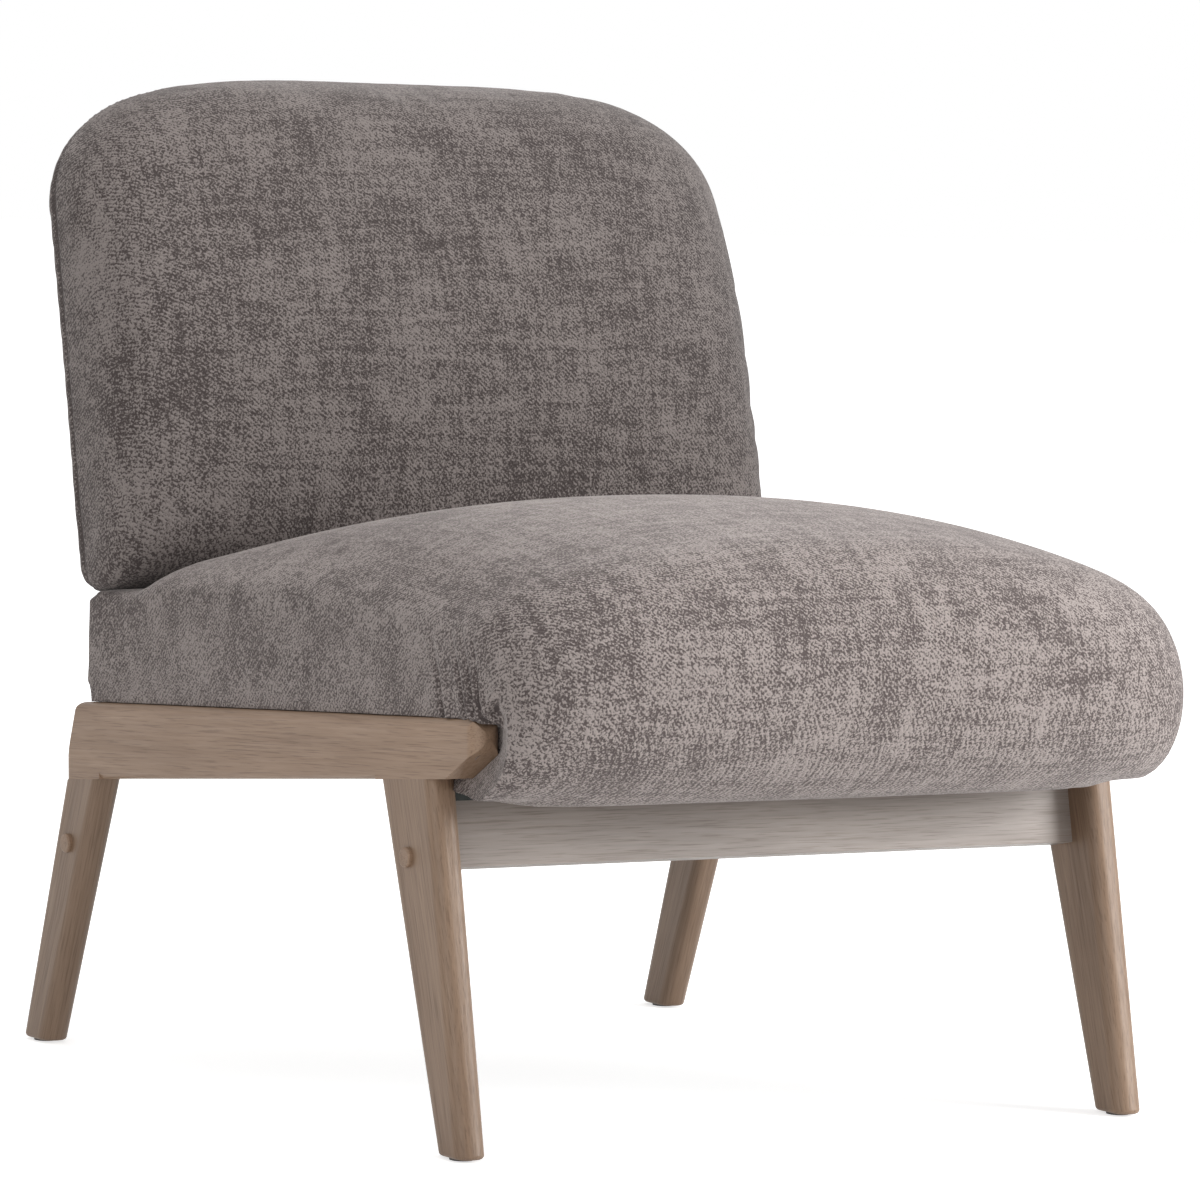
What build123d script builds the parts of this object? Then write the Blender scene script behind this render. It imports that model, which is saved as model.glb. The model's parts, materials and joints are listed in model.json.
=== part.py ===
from build123d import *
import os
from math import cos, radians, sin

os.makedirs("parts", exist_ok=True)

# Accent chair on a solid-wood frame, in millimetres.
# +Z is up, the chair faces -Y, +X is the sitter's left. The floor is z = 0.

# Side frames: rails and legs cut from one thickness of board
frame_width = 605.0
board = 24.0
stance_depth = 622.0
stance_y = 24.9
glide_height = 1.5

# Seat rails: the top edge falls towards the rear, the lower edge a little more
rail_top_z = 290.0
deck_tilt = 4.1
rail_height = 52.0
rail_taper = 1.8
nose_overhang = 96.0
nose_length = 40.0
nose_blunt = 22.0
nose_round = 11.0
nose_flat = 1.0
rail_round = 6.0
round_stop = 4.0

# Legs: rounded boards, deep at the rail and slim at the floor
front_foot_depth = 38.0
front_top_depth = 71.0
front_top_reach = 234.0
rear_foot_depth = 40.0
rear_top_depth = 54.0
rear_top_reach = 249.0
leg_round = 9.0
foot_round = 11.0
foot_edge_round = 3.0

# Floor glides under the feet
glide_radius = 9.0
glide_pin_radius = 1.5
glide_pin_length = 14.0

# Front apron between the front legs
apron_tilt = 12.0
apron_height = 48.0
apron_thickness = 22.0
apron_low_z = 198.0
apron_setback = 6.1

# Apron bolts, their barrel nuts, and the plugs over every bolt bore in the legs
bolt_radius = 3.0
bolt_rise = 9.5
bolt_grip = 14.0
bolt_depth = 34.0
bolt_end_room = 1.0
bolt_head_radius = 5.0
bolt_head_height = 4.0
barrel_radius = 5.0
barrel_length = 14.0
plug_radius = 7.4
plug_rise = 3.6
plug_shank_radius = 6.2
plug_shank_length = 4.5
plug_dome = 1.6

# Rear leg bolts run down the leg from the rail's top into a barrel nut
leg_nut_drop = 54.0
leg_bolt_seat = 42.0
leg_bolt_tail = 8.0
washer_radius = 7.5
washer_thickness = 1.5

# Dowels
dowel_radius = 4.0
front_dowel_depth = 25.0
rear_dowel_depth = 20.0
front_dowel_spacing = 34.0
rear_dowel_spacing = 28.0
rail_dowel_depth = 14.0
apron_dowel_rise = 34.0
apron_dowel_depth = 22.0

# Back: its rear plane leans back from the heel line
back_recline = 14.0
back_heel_z = 352.0
back_heel_set = 13.0
back_margin = 0.5
back_height = 415.0
back_side_low = 5.0
back_corner_drop = 97.0
back_crown = 130.0
back_side_thickness = 66.0
back_seam_depth = 12.0

# Back profile: steps in height and depth from its outline, at the sides and in the middle
back_edge = 13.0
top_line_side = 16.0
top_line_middle = 22.0
roll_side = (5.0, 34.0)
roll_middle = (17.0, 66.0)
brow_side = (42.0, 12.0)
brow_middle = (61.0, 26.0)
crown_height_side = 148.0
crown_height_middle = 205.0
lap_side = (38.0, 4.0)
lap_middle = (46.0, 18.0)
low_roll_side = (8.0, 16.0)
low_roll_middle = (9.0, 38.0)
low_line_side = 20.0
low_line_middle = 50.0
low_sag = 6.0

# Frame inside the back, its webbing, and the rear cross rail that carries it
back_frame_inset = 62.5
back_frame_low = 30.0
back_frame_top_gap = 39.0
post_width = 45.0
cross_width = 50.0
back_board = 25.0
rear_rail_high = 92.0
rear_rail_height = 46.0
bracket_width = 38.0
bracket_thickness = 5.0
bracket_top = 165.0
bracket_end = 10.0
post_bolt_low = 60.0
post_bolt_spacing = 75.0
rear_bolt_spacing = 22.0
nut_recess = 8.0
nut_flats = 10.0
nut_height = 5.0
nut_bore_radius = 6.6
block_leg = 45.0
block_height = 30.0
block_web = 12.0
screw_radius = 2.0
screw_head_radius = 3.8
screw_head_height = 2.5
block_screw_depth = 13.0

# Seat cushion, measured along and above the rails' top edge
seat_crown = 153.0
seat_crown_reach = 90.0
seat_overhang = 82.0
seat_roll = 95.0
roll_lean = 16.0
lobe_drop = 61.0
lobe_clearance = 17.0
lobe_lift = 8.0
heel_gap = 22.5
rear_corner = 10.0
rear_bulge_height = 42.0
heel_ease = 7.0
top_ease = 8.5
edge_drop = 5.0
tuck_height = 83.0
tuck_set = 67.5
tuck_step = 23.0
behind_rise = 28.0
shoulder_step = 54.0
shoulder_fall = 28.0
seat_side_height = 85.0
seat_side_swell = 4.0
seat_side_overhang = 34.0
seat_side_ease = 30.0
seat_side_fall = 28.0
seat_side_drop = 60.0

# Wooden seat frame under the foam
frame_height = 26.0
side_member = 46.0
cross_member = 45.0
frame_front_gap = 36.0
frame_rear_gap = 27.5
foam_border = 8.0
front_board_thickness = 15.0
front_board_drop = 42.0
front_board_margin = 30.0
board_screw_length = 45.0
board_screw_spacing = 150.0
seat_screw_radius = 2.5
seat_screw_web = 30.0
seat_screw_depth = 20.0
seat_screw_head = 5.0
seat_screw_spacing = 240.0
seat_screw_shift = 4.0
strap_width = 55.0
strap_thickness = 1.5
strap_share = 0.76
straps_across = 4

# Cloth and clearances
cover_thickness = 2.0
dust_thickness = 1.0
lining_drop = 60.0
soft_gap = 0.5
nose_gap = 0.6
fit = 0.15
slant = 0.7

# How the soft forms run out from the middle to their sides
crown_power = 2.5
lobe_power = 4.0
rear_power = 8.0
plan_power = 3.4
outline_power = 3.8
width_shares = (0.2, 0.5, 0.72, 0.87, 0.955, 1.0)
edge_share = 0.99

# Derived places
half = frame_width / 2
inner_half = half - board
seat_half_width = half
back_half_width = half - back_margin
nose_reach = front_top_reach + nose_overhang
nose_start = nose_reach - nose_length
seat_front = nose_reach + seat_overhang
seat_side_front = nose_reach + seat_side_overhang
back_heel_reach = rear_top_reach + back_heel_set
seat_rear = back_heel_reach - heel_gap
tuck_reach = seat_rear - tuck_set
shoulder_reach = tuck_reach - shoulder_step
seat_frame_front = seat_side_front - frame_front_gap
seat_frame_rear = seat_rear - frame_rear_gap
back_side_high = back_height - back_corner_drop
back_frame_half_width = half - back_frame_inset
back_frame_high = back_height - back_frame_top_gap
leg_x = half - board / 2
front_foot_y = stance_y - stance_depth / 2
rear_foot_y = stance_y + stance_depth / 2
up = (Align.CENTER, Align.CENTER, Align.MIN)
down = (Align.CENTER, Align.CENTER, Align.MAX)
sides = {"right": -1, "left": 1}
shares = [-s for s in reversed(width_shares)] + list(width_shares)


def leaning_frame(y, z, lean):
    """Frame on a board that leans back: +Y up along it, +Z out of its front face."""
    return Plane((0, y, z), x_dir=(1, 0, 0), z_dir=(0, -cos(radians(lean)), sin(radians(lean))))


def tilted_frame(origin, tilt):
    """Frame on a level board that falls towards the rear: +Y to the rear, +Z above it."""
    return Plane(origin, x_dir=(1, 0, 0), z_dir=(0, sin(radians(tilt)), cos(radians(tilt))))


def side_plane(frame, x):
    """Upright plane across the chair at x, with the frame's +Y and +Z as its axes."""
    return Plane(frame.from_local_coords((x, 0, 0)), x_dir=frame.y_dir, z_dir=(1, 0, 0))


def on_frame(frame, x, along, above=0.0):
    """Plane parallel to a frame, moved to a place on it."""
    return Plane(frame.from_local_coords((x, along, above)), x_dir=frame.x_dir, z_dir=frame.z_dir)


def across(frame, x, along, above, side):
    """Plane at a place on a frame, facing sideways out of the chair."""
    return Plane(frame.from_local_coords((x, along, above)), x_dir=frame.y_dir, z_dir=(side, 0, 0))


def cut_across(frame, x, along):
    """Plane that cuts a board across its length, with the frame's +Z as its +Y, facing the front."""
    return Plane(frame.from_local_coords((x, along, 0)), x_dir=(1, 0, 0), z_dir=-frame.y_dir)


deck = tilted_frame((0, stance_y, rail_top_z), deck_tilt)
under = tilted_frame(deck.from_local_coords((0, 0, -rail_height)), deck_tilt + rail_taper)

# The apron stands behind the middle of the front legs, and the seat's lobe hangs in front of it
leg_top = under.from_local_coords((0, -front_top_reach, 0))
apron_z = apron_low_z + apron_height / 2 * cos(radians(apron_tilt))
apron_share = (apron_z - glide_height) / (leg_top.Z - glide_height)
apron_y = front_foot_y + (leg_top.Y - front_foot_y) * apron_share + apron_setback
apron = leaning_frame(apron_y, apron_z, apron_tilt)
lobe_rear = stance_y - apron_y + lobe_clearance

# The back stands on its heel line, with its frame and brackets inside
back = leaning_frame(stance_y + back_heel_reach, back_heel_z, back_recline)
bracket_rear = cover_thickness + fit * 2
frame_rear = bracket_rear + bracket_thickness
frame_front = frame_rear + back_board
bracket_x = back_frame_half_width - post_width / 2
rear_rail_middle = -rear_rail_high - rear_rail_height / 2
post_bolts = (post_bolt_low, post_bolt_low + post_bolt_spacing)
rear_bolts = (rear_rail_middle - rear_bolt_spacing / 2, rear_rail_middle + rear_bolt_spacing / 2)
seat_frame_half = seat_half_width - cover_thickness - soft_gap - foam_border
seat_frame_top = dust_thickness + frame_height
front_board_half = inner_half - front_board_margin
front_board_rear = seat_frame_front - cross_member
bolt_along = bolt_rise - apron_height / 2
dowel_along = apron_dowel_rise - apron_height / 2
seat_screw_x = leg_x - seat_screw_shift
round_front = front_top_depth / 2 - front_top_reach + round_stop
round_rear = rear_top_reach - rear_top_depth / 2 - round_stop


def leg_edges(foot_y, foot_depth, top_reach, top_depth):
    """Front and rear edges of a leg in the rail's frame: top, then foot."""
    edges = []
    for end in (-1, 1):
        top = deck.to_local_coords(under.from_local_coords((0, top_reach + end * top_depth / 2, 0)))
        foot = deck.to_local_coords(Vector(0, foot_y + end * foot_depth / 2, glide_height))
        edges.append(((top.Y, top.Z), (foot.Y, foot.Z)))
    return edges


front_edges = leg_edges(front_foot_y, front_foot_depth, -front_top_reach, front_top_depth)
rear_edges = leg_edges(rear_foot_y, rear_foot_depth, rear_top_reach, rear_top_depth)


def rail_corners():
    """Corners of the rail's side outline, starting at the rear of its top edge."""
    (top_y, top_z), (foot_y, foot_z) = rear_edges[1]
    heel = top_y - (foot_y - top_y) * top_z / (foot_z - top_z)
    nose_low = deck.to_local_coords(under.from_local_coords((0, -nose_start, 0)))
    return [
        (heel, 0),
        (top_y, top_z),
        (nose_low.Y, nose_low.Z),
        (-nose_reach, -nose_blunt),
        (-nose_reach, 0),
    ]


# Centre lines of the rear legs, from the barrel nut up to the rail
def leg_line(side):
    """Plane at the top middle of a rear leg, with +Z up along the leg."""
    top = under.from_local_coords((side * leg_x, rear_top_reach, 0))
    foot = Vector(side * leg_x, rear_foot_y, glide_height)
    return Plane(top, x_dir=(1, 0, 0), z_dir=top - foot)


def along_line(side, distance):
    """Plane across the rear leg's centre line, this far above the leg's top."""
    line = leg_line(side)
    return Plane(line.from_local_coords((0, 0, distance)), x_dir=(1, 0, 0), z_dir=line.z_dir)


def nut_plane(side):
    """Plane at the rear leg's barrel nut, facing out of the chair."""
    return Plane(leg_line(side).from_local_coords((0, 0, -leg_nut_drop)), z_dir=(side, 0, 0))


def leg_dowel_places(side):
    """Planes of the leg dowels on the rail's lower edge, each with its depth."""
    front = [-front_top_reach + s * front_dowel_spacing / 2 for s in (-1, 1)]
    rear = [rear_top_reach + s * rear_dowel_spacing / 2 for s in (-1, 1)]
    places = [(on_frame(under, side * leg_x, along), front_dowel_depth) for along in front]
    for along in rear:
        start = under.from_local_coords((side * leg_x, along, 0))
        places.append((Plane(start, x_dir=(1, 0, 0), z_dir=leg_line(side).z_dir), rear_dowel_depth))
    return places


def rear_rail_dowel_planes(side):
    """Planes of the rear rail's dowels on the side rail's inner face."""
    middle = (frame_rear + frame_front) / 2
    places = [rear_rail_middle + s * rear_rail_height / 4 for s in (-1, 1)]
    return [across(back, side * inner_half, along, middle, side) for along in places]


def seat_screw_planes(side):
    """Planes of the seat screws at the floor of their bores in the rail."""
    places = [s * seat_screw_spacing / 2 for s in (-1, 1)]
    return [on_frame(deck, side * seat_screw_x, along, -seat_screw_web) for along in places]


def block_screw_planes(side):
    """Planes of a corner block's screws on the rear rail and on the side rail."""
    reach = block_leg - block_web - screw_head_height
    low = rear_rail_middle - block_height / 4
    high = rear_rail_middle + block_height / 4
    return [
        on_frame(back, side * (inner_half - reach), high, frame_front),
        across(back, side * inner_half, low, frame_front + reach, -side),
    ]


# Side rails
def side_rail(side):
    """Seat rail with a bull nose at the front and its joint holes."""
    with BuildPart() as rail:
        with BuildSketch(side_plane(deck, side * leg_x)) as outline:
            with BuildLine():
                Polyline(*rail_corners(), close=True)
            make_face()
            heel = outline.vertices().sort_by_distance((rail_corners()[0][0], 0, 0))[0]
            nose = outline.vertices().sort_by(Axis.X)[:2]
            fillet([heel] + nose, nose_round)
        extrude(amount=board / 2, both=True)
        with BuildSketch(on_frame(deck, side * leg_x, 0)) as plan:
            with Locations((0, (rear_edges[1][0][0] - nose_reach) / 2)):
                Rectangle(board, rear_edges[1][0][0] + nose_reach)
            fillet(plan.vertices(), board / 2 - nose_flat)
        extrude(amount=2 * rail_height, both=True, mode=Mode.INTERSECT)
        with BuildSketch(cut_across(deck, side * leg_x, 0)):
            with Locations((0, -rail_height)):
                RectangleRounded(board, 2 * rail_height, rail_round)
        extrude(amount=stance_depth, both=True, mode=Mode.INTERSECT)
        with BuildSketch(cut_across(under, side * leg_x, round_rear)):
            for edge in (-1, 1):
                with Locations((edge * (board - rail_round) / 2, rail_round / 2)):
                    Rectangle(rail_round, rail_round)
                with Locations((edge * (board / 2 - rail_round), rail_round)):
                    Circle(rail_round, mode=Mode.SUBTRACT)
        extrude(amount=round_rear - round_front, mode=Mode.SUBTRACT)
        for plane, depth in leg_dowel_places(side):
            with Locations(plane):
                Cylinder(dowel_radius + fit, 2 * (depth + fit), mode=Mode.SUBTRACT)
        for plane in rear_rail_dowel_planes(side):
            with Locations(plane):
                Cylinder(dowel_radius + fit, rail_dowel_depth + fit, align=up, mode=Mode.SUBTRACT)
        with Locations(block_screw_planes(side)[1]):
            Cylinder(screw_radius + fit, block_screw_depth + fit, align=down, mode=Mode.SUBTRACT)
        with Locations(leg_line(side)):
            Cylinder(bolt_radius + fit, 4 * rail_height, mode=Mode.SUBTRACT)
        with Locations(along_line(side, leg_bolt_seat)):
            Cylinder(washer_radius + fit, 2 * rail_height, align=up, mode=Mode.SUBTRACT)
        for plane in seat_screw_planes(side):
            with Locations(plane):
                Cylinder(seat_screw_radius + fit, 2 * seat_screw_web, align=up, mode=Mode.SUBTRACT)
                Cylinder(seat_screw_head + fit, 2 * rail_height, align=down, mode=Mode.SUBTRACT)
    return rail.part


# Legs
def leg(side, foot_y, foot_depth, top_reach, top_depth):
    """Rounded leg board, tapered from the rail down to the foot."""
    with BuildPart() as blank:
        with BuildSketch(Plane((side * leg_x, foot_y, glide_height))):
            RectangleRounded(board, foot_depth, foot_round)
        with BuildSketch(on_frame(under, side * leg_x, top_reach)):
            RectangleRounded(board, top_depth, leg_round)
        loft()
        fillet(blank.edges().group_by(Axis.Z)[0], foot_edge_round)
        with Locations((side * leg_x, foot_y, glide_height)):
            Cylinder(glide_pin_radius + fit, glide_pin_length + fit, align=up, mode=Mode.SUBTRACT)
        for plane, depth in leg_dowel_places(side):
            with Locations(plane):
                Cylinder(dowel_radius + fit, 2 * (depth + fit), mode=Mode.SUBTRACT)
    return blank.part


def front_leg(side):
    """Front leg with the bores of the apron's bolt and dowel."""
    with BuildPart() as bored:
        add(leg(side, front_foot_y, front_foot_depth, -front_top_reach, front_top_depth))
        with Locations(across(apron, side * inner_half, bolt_along, 0, side)):
            Cylinder(bolt_radius + fit, board, align=up, mode=Mode.SUBTRACT)
        with Locations(across(apron, side * (inner_half + bolt_grip), bolt_along, 0, side)):
            Cylinder(plug_shank_radius + fit, board, align=up, mode=Mode.SUBTRACT)
        with Locations(across(apron, side * inner_half, dowel_along, 0, side)):
            Cylinder(dowel_radius + fit, rail_dowel_depth + fit, align=up, mode=Mode.SUBTRACT)
    return bored.part


def rear_leg(side):
    """Rear leg with the bores of its bolt and barrel nut."""
    with BuildPart() as bored:
        add(leg(side, rear_foot_y, rear_foot_depth, rear_top_reach, rear_top_depth))
        with Locations(along_line(side, leg_bolt_seat)):
            bore = leg_bolt_seat + leg_nut_drop + leg_bolt_tail + fit
            Cylinder(bolt_radius + fit, bore, align=down, mode=Mode.SUBTRACT)
        with Locations(nut_plane(side)):
            Cylinder(barrel_radius + fit, board / 2 + barrel_length / 2, mode=Mode.SUBTRACT)
            Cylinder(plug_shank_radius + fit, board, align=up, mode=Mode.SUBTRACT)
    return bored.part


# Front apron
with BuildPart() as front_apron:
    with BuildSketch(apron):
        Rectangle(2 * inner_half, apron_height)
    extrude(amount=apron_thickness / 2, both=True)
    for side in sides.values():
        with Locations(across(apron, side * inner_half, bolt_along, 0, side)):
            Cylinder(bolt_radius + fit, bolt_depth + bolt_end_room, align=down, mode=Mode.SUBTRACT)
        with Locations(across(apron, side * inner_half, dowel_along, 0, side)):
            Cylinder(dowel_radius + fit, apron_dowel_depth + fit, align=down, mode=Mode.SUBTRACT)
        nut_x = side * (inner_half - bolt_depth + barrel_radius + fit)
        with Locations(on_frame(apron, nut_x, bolt_along, barrel_length / 2)):
            Cylinder(barrel_radius + fit, barrel_length + apron_thickness, align=down, mode=Mode.SUBTRACT)

# Rear cross rail, leaning with the back
with BuildPart() as rear_rail:
    with BuildSketch(on_frame(back, 0, rear_rail_middle, frame_rear)):
        Rectangle(2 * inner_half, rear_rail_height)
    extrude(amount=back_board)
    for side in sides.values():
        for plane in rear_rail_dowel_planes(side):
            with Locations(plane):
                Cylinder(dowel_radius + fit, apron_dowel_depth + fit, align=down, mode=Mode.SUBTRACT)
        for along in rear_bolts:
            with Locations(on_frame(back, side * bracket_x, along, frame_front)):
                Cylinder(bolt_radius + fit, back_board, align=down, mode=Mode.SUBTRACT)
                Cylinder(nut_bore_radius, nut_recess, align=down, mode=Mode.SUBTRACT)
        with Locations(block_screw_planes(side)[0]):
            Cylinder(screw_radius + fit, block_screw_depth + fit, align=down, mode=Mode.SUBTRACT)

# Dowels of the legs, the apron and the rear rail
with BuildPart() as leg_dowels:
    for side in sides.values():
        for plane, depth in leg_dowel_places(side):
            with Locations(plane):
                Cylinder(dowel_radius, 2 * depth)

with BuildPart() as apron_dowels:
    for side in sides.values():
        with Locations(across(apron, side * inner_half, dowel_along, 0, side)):
            Cylinder(dowel_radius, apron_dowel_depth, align=down)
            Cylinder(dowel_radius, rail_dowel_depth, align=up)

with BuildPart() as rear_rail_dowels:
    for side in sides.values():
        for plane in rear_rail_dowel_planes(side):
            with Locations(plane):
                Cylinder(dowel_radius, apron_dowel_depth, align=down)
                Cylinder(dowel_radius, rail_dowel_depth, align=up)

# Apron bolts with their barrel nuts
with BuildPart() as apron_bolts:
    for side in sides.values():
        with Locations(across(apron, side * (inner_half + bolt_grip), bolt_along, 0, side)):
            Cylinder(bolt_radius, bolt_depth + bolt_grip, align=down)
            Cylinder(bolt_head_radius, bolt_head_height, align=up)

with BuildPart() as apron_barrel_nuts:
    for side in sides.values():
        nut_x = side * (inner_half - bolt_depth + barrel_radius + fit)
        with Locations(on_frame(apron, nut_x, bolt_along)):
            Cylinder(barrel_radius, barrel_length)
        with Locations(across(apron, nut_x, bolt_along, 0, side)):
            Cylinder(bolt_radius + fit, 4 * barrel_radius, mode=Mode.SUBTRACT)

# Rear leg bolts with their washers and barrel nuts
with BuildPart() as rear_leg_bolts:
    for side in sides.values():
        with Locations(along_line(side, leg_bolt_seat + washer_thickness)):
            shank = leg_bolt_seat + washer_thickness + leg_nut_drop + leg_bolt_tail
            Cylinder(bolt_radius, shank, align=down)
            Cylinder(bolt_head_radius, bolt_head_height, align=up)

with BuildPart() as rear_leg_washers:
    for side in sides.values():
        with Locations(along_line(side, leg_bolt_seat)):
            Cylinder(washer_radius, washer_thickness, align=up)
            Cylinder(bolt_radius + fit, 4 * washer_thickness, mode=Mode.SUBTRACT)

with BuildPart() as rear_leg_barrel_nuts:
    for side in sides.values():
        with Locations(nut_plane(side)):
            Cylinder(barrel_radius, barrel_length)
        with Locations(along_line(side, -leg_nut_drop)):
            Cylinder(bolt_radius + fit, 4 * barrel_radius, mode=Mode.SUBTRACT)

# Wooden plugs over the bores in the legs
with BuildPart() as leg_plugs:
    for side in sides.values():
        apron_bore = across(apron, side * half, bolt_along, 0, side)
        nut = nut_plane(side).origin
        leg_bore = Plane((side * half, nut.Y, nut.Z), z_dir=(side, 0, 0))
        for bore in (apron_bore, leg_bore):
            with Locations(bore):
                Cylinder(plug_shank_radius, plug_shank_length, align=down)
                Cylinder(plug_radius, plug_rise, align=up)
    fillet(leg_plugs.edges().group_by(SortBy.LENGTH)[-1].group_by(Axis.X)[0], plug_dome)
    fillet(leg_plugs.edges().group_by(SortBy.LENGTH)[-1].group_by(Axis.X)[-1], plug_dome)

# Floor glides with a pin up into each foot
with BuildPart() as floor_glides:
    for side in sides.values():
        for foot_y in (front_foot_y, rear_foot_y):
            with Locations((side * leg_x, foot_y, 0)):
                Cylinder(glide_radius, glide_height, align=up)
                Cylinder(glide_pin_radius, glide_height + glide_pin_length, align=up)

# Corner blocks between the rear rail and the side rails
with BuildPart() as corner_blocks:
    for side in sides.values():
        with BuildSketch(Plane(
            back.from_local_coords((side * inner_half, rear_rail_middle - block_height / 2, frame_front)),
            x_dir=(-side, 0, 0), z_dir=back.y_dir if side > 0 else -back.y_dir,
        )):
            Polygon((0, 0), (block_leg, 0), (0, block_leg), align=None)
        extrude(amount=side * block_height)
        for plane in block_screw_planes(side):
            with Locations(plane):
                Cylinder(screw_radius + fit, block_leg, align=up, mode=Mode.SUBTRACT)
            with Locations(plane.offset(block_web)):
                Cylinder(screw_head_radius + fit, block_leg, align=up, mode=Mode.SUBTRACT)

with BuildPart() as corner_block_screws:
    for side in sides.values():
        for plane in block_screw_planes(side):
            with Locations(plane.offset(block_web)):
                Cylinder(screw_radius, block_web + block_screw_depth, align=down)
                Cylinder(screw_head_radius, screw_head_height, align=up)


# Soft forms: side profiles blended from the middle of the chair out to its sides
def blend(share, power):
    """How much of the middle profile is left at this share of the half width."""
    here = (1 - (abs(share) * edge_share) ** power) ** (1 / power)
    edge = (1 - edge_share ** power) ** (1 / power)
    return (here - edge) / (1 - edge)


def seat_spots(share, inset, base):
    """Points of the seat's side profile at one place across its width."""
    lean = radians(roll_lean)
    roll_q = seat_roll - seat_front
    roll_h = seat_roll - lobe_drop
    corner = seat_rear + rear_corner
    side_top = seat_side_height + seat_side_swell
    side_front = seat_side_ease - seat_side_front
    spots = {
        "foot": ((corner - heel_ease, base), (seat_rear - heel_ease, base), (-1, 0)),
        "rear": ((corner, seat_side_height / 2), (seat_rear, rear_bulge_height), (-1, 0)),
        "rear_top": (
            (corner - top_ease, seat_side_height - edge_drop),
            (seat_rear - top_ease, tuck_height - edge_drop),
            (-1, -1),
        ),
        "tuck": ((tuck_reach, seat_side_height), (tuck_reach, tuck_height), (0, -1)),
        "behind": (
            (tuck_reach - tuck_step, side_top),
            (tuck_reach - tuck_step, tuck_height + behind_rise),
            (-slant, -slant),
        ),
        "shoulder": ((shoulder_reach, side_top), (shoulder_reach, seat_crown - shoulder_fall), (0, -1)),
        "crown": ((-seat_crown_reach, seat_side_height), (-seat_crown_reach, seat_crown), (0, -1)),
        "front_top": (
            (side_front, seat_side_height - seat_side_fall),
            (roll_q - seat_roll * sin(lean), roll_h + seat_roll * cos(lean)),
            (0, -1),
        ),
        "front": ((-seat_side_front, seat_side_swell), (-seat_front, roll_h), (1, 0)),
        "lobe": ((side_front, -seat_side_drop), (roll_q, -lobe_drop), (0, 1)),
        "lobe_rear": (
            (-lobe_rear, lobe_lift - seat_side_drop),
            (-lobe_rear, lobe_lift - lobe_drop),
            (-1, 1),
        ),
        "heel": ((-lobe_rear, base), (-lobe_rear, base), (-1, 0)),
    }
    places = {}
    for name, (side, middle, inward) in spots.items():
        plan = blend(share, rear_power if name in ("foot", "rear", "rear_top") else plan_power)
        rise = blend(share, lobe_power if name in ("lobe", "lobe_rear") else crown_power)
        places[name] = (
            side[0] + (middle[0] - side[0]) * plan + inset * inward[0],
            side[1] + (middle[1] - side[1]) * rise + inset * inward[1],
        )
    return places


def seat_form(inset, base):
    """Closed seat cushion form, drawn in from its outer face."""
    with BuildPart() as form:
        for share in shares:
            at = seat_spots(share, inset, base)
            with BuildSketch(side_plane(deck, share * (seat_half_width - inset))):
                with BuildLine():
                    ThreePointArc(at["foot"], at["rear"], at["rear_top"])
                    Line(at["rear_top"], at["tuck"])
                    ThreePointArc(at["tuck"], at["behind"], at["shoulder"])
                    ThreePointArc(at["shoulder"], at["crown"], at["front_top"])
                    ThreePointArc(at["front_top"], at["front"], at["lobe"])
                    Line(at["lobe"], at["lobe_rear"])
                    Line(at["lobe_rear"], at["heel"])
                    Line(at["heel"], at["foot"])
                make_face()
        loft()
    return form.part


def box_on(frame, x_range, along_range, above_range):
    """Box on a frame between three pairs of limits."""
    with BuildPart() as block:
        with BuildSketch(on_frame(frame, sum(x_range) / 2, sum(along_range) / 2, above_range[0])):
            Rectangle(x_range[1] - x_range[0], along_range[1] - along_range[0])
        extrude(amount=above_range[1] - above_range[0])
    return block.part


def seat_body(inset, base):
    """Seat form with room for both side rails and their noses."""
    gap = nose_gap + inset
    with BuildPart() as body:
        add(seat_form(inset, base))
        for side in sides.values():
            limits = sorted((side * (inner_half - gap), side * (half + board)))
            add(
                box_on(deck, limits, (-nose_reach - gap, nose_reach), (-2 * rail_height, 0)),
                mode=Mode.SUBTRACT,
            )
    return body.part


# Seat cover, open below
with BuildPart() as seat_cover:
    add(seat_body(0, 0))
    add(seat_body(cover_thickness, -cover_thickness), mode=Mode.SUBTRACT)

# Seat foam with a pocket for its frame and front board
pocket_half = seat_frame_half + soft_gap
board_pocket_half = front_board_half + soft_gap
with BuildPart() as seat_foam:
    add(seat_body(cover_thickness + soft_gap, dust_thickness))
    add(
        box_on(
            deck,
            (-pocket_half, pocket_half),
            (-seat_frame_front - soft_gap, seat_frame_rear + soft_gap),
            (-dust_thickness, seat_frame_top + 2 * strap_thickness + fit),
        ),
        mode=Mode.SUBTRACT,
    )
    add(
        box_on(
            deck,
            (-board_pocket_half, board_pocket_half),
            (-front_board_rear - front_board_thickness - soft_gap, -front_board_rear + soft_gap),
            (-front_board_drop - soft_gap, seat_frame_top),
        ),
        mode=Mode.SUBTRACT,
    )

# Dust cover under the seat frame, with a flap down behind the front lobe
lining_front = soft_gap - lobe_rear
flap_half = inner_half - nose_gap
with BuildPart() as dust_cover:
    add(box_on(
        deck,
        (-seat_frame_half, seat_frame_half),
        (lining_front, seat_frame_rear),
        (0, dust_thickness),
    ))
    add(box_on(
        deck,
        (-flap_half, flap_half),
        (lining_front, lining_front + dust_thickness),
        (-lining_drop, dust_thickness),
    ))
    for side in sides.values():
        for plane in seat_screw_planes(side):
            with Locations(plane):
                Cylinder(seat_screw_radius + fit, 2 * seat_screw_web, align=up, mode=Mode.SUBTRACT)

# Seat frame: two side members with a front and a rear cross member between them
member_levels = (dust_thickness, seat_frame_top)
member_inner = seat_frame_half - side_member


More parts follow.
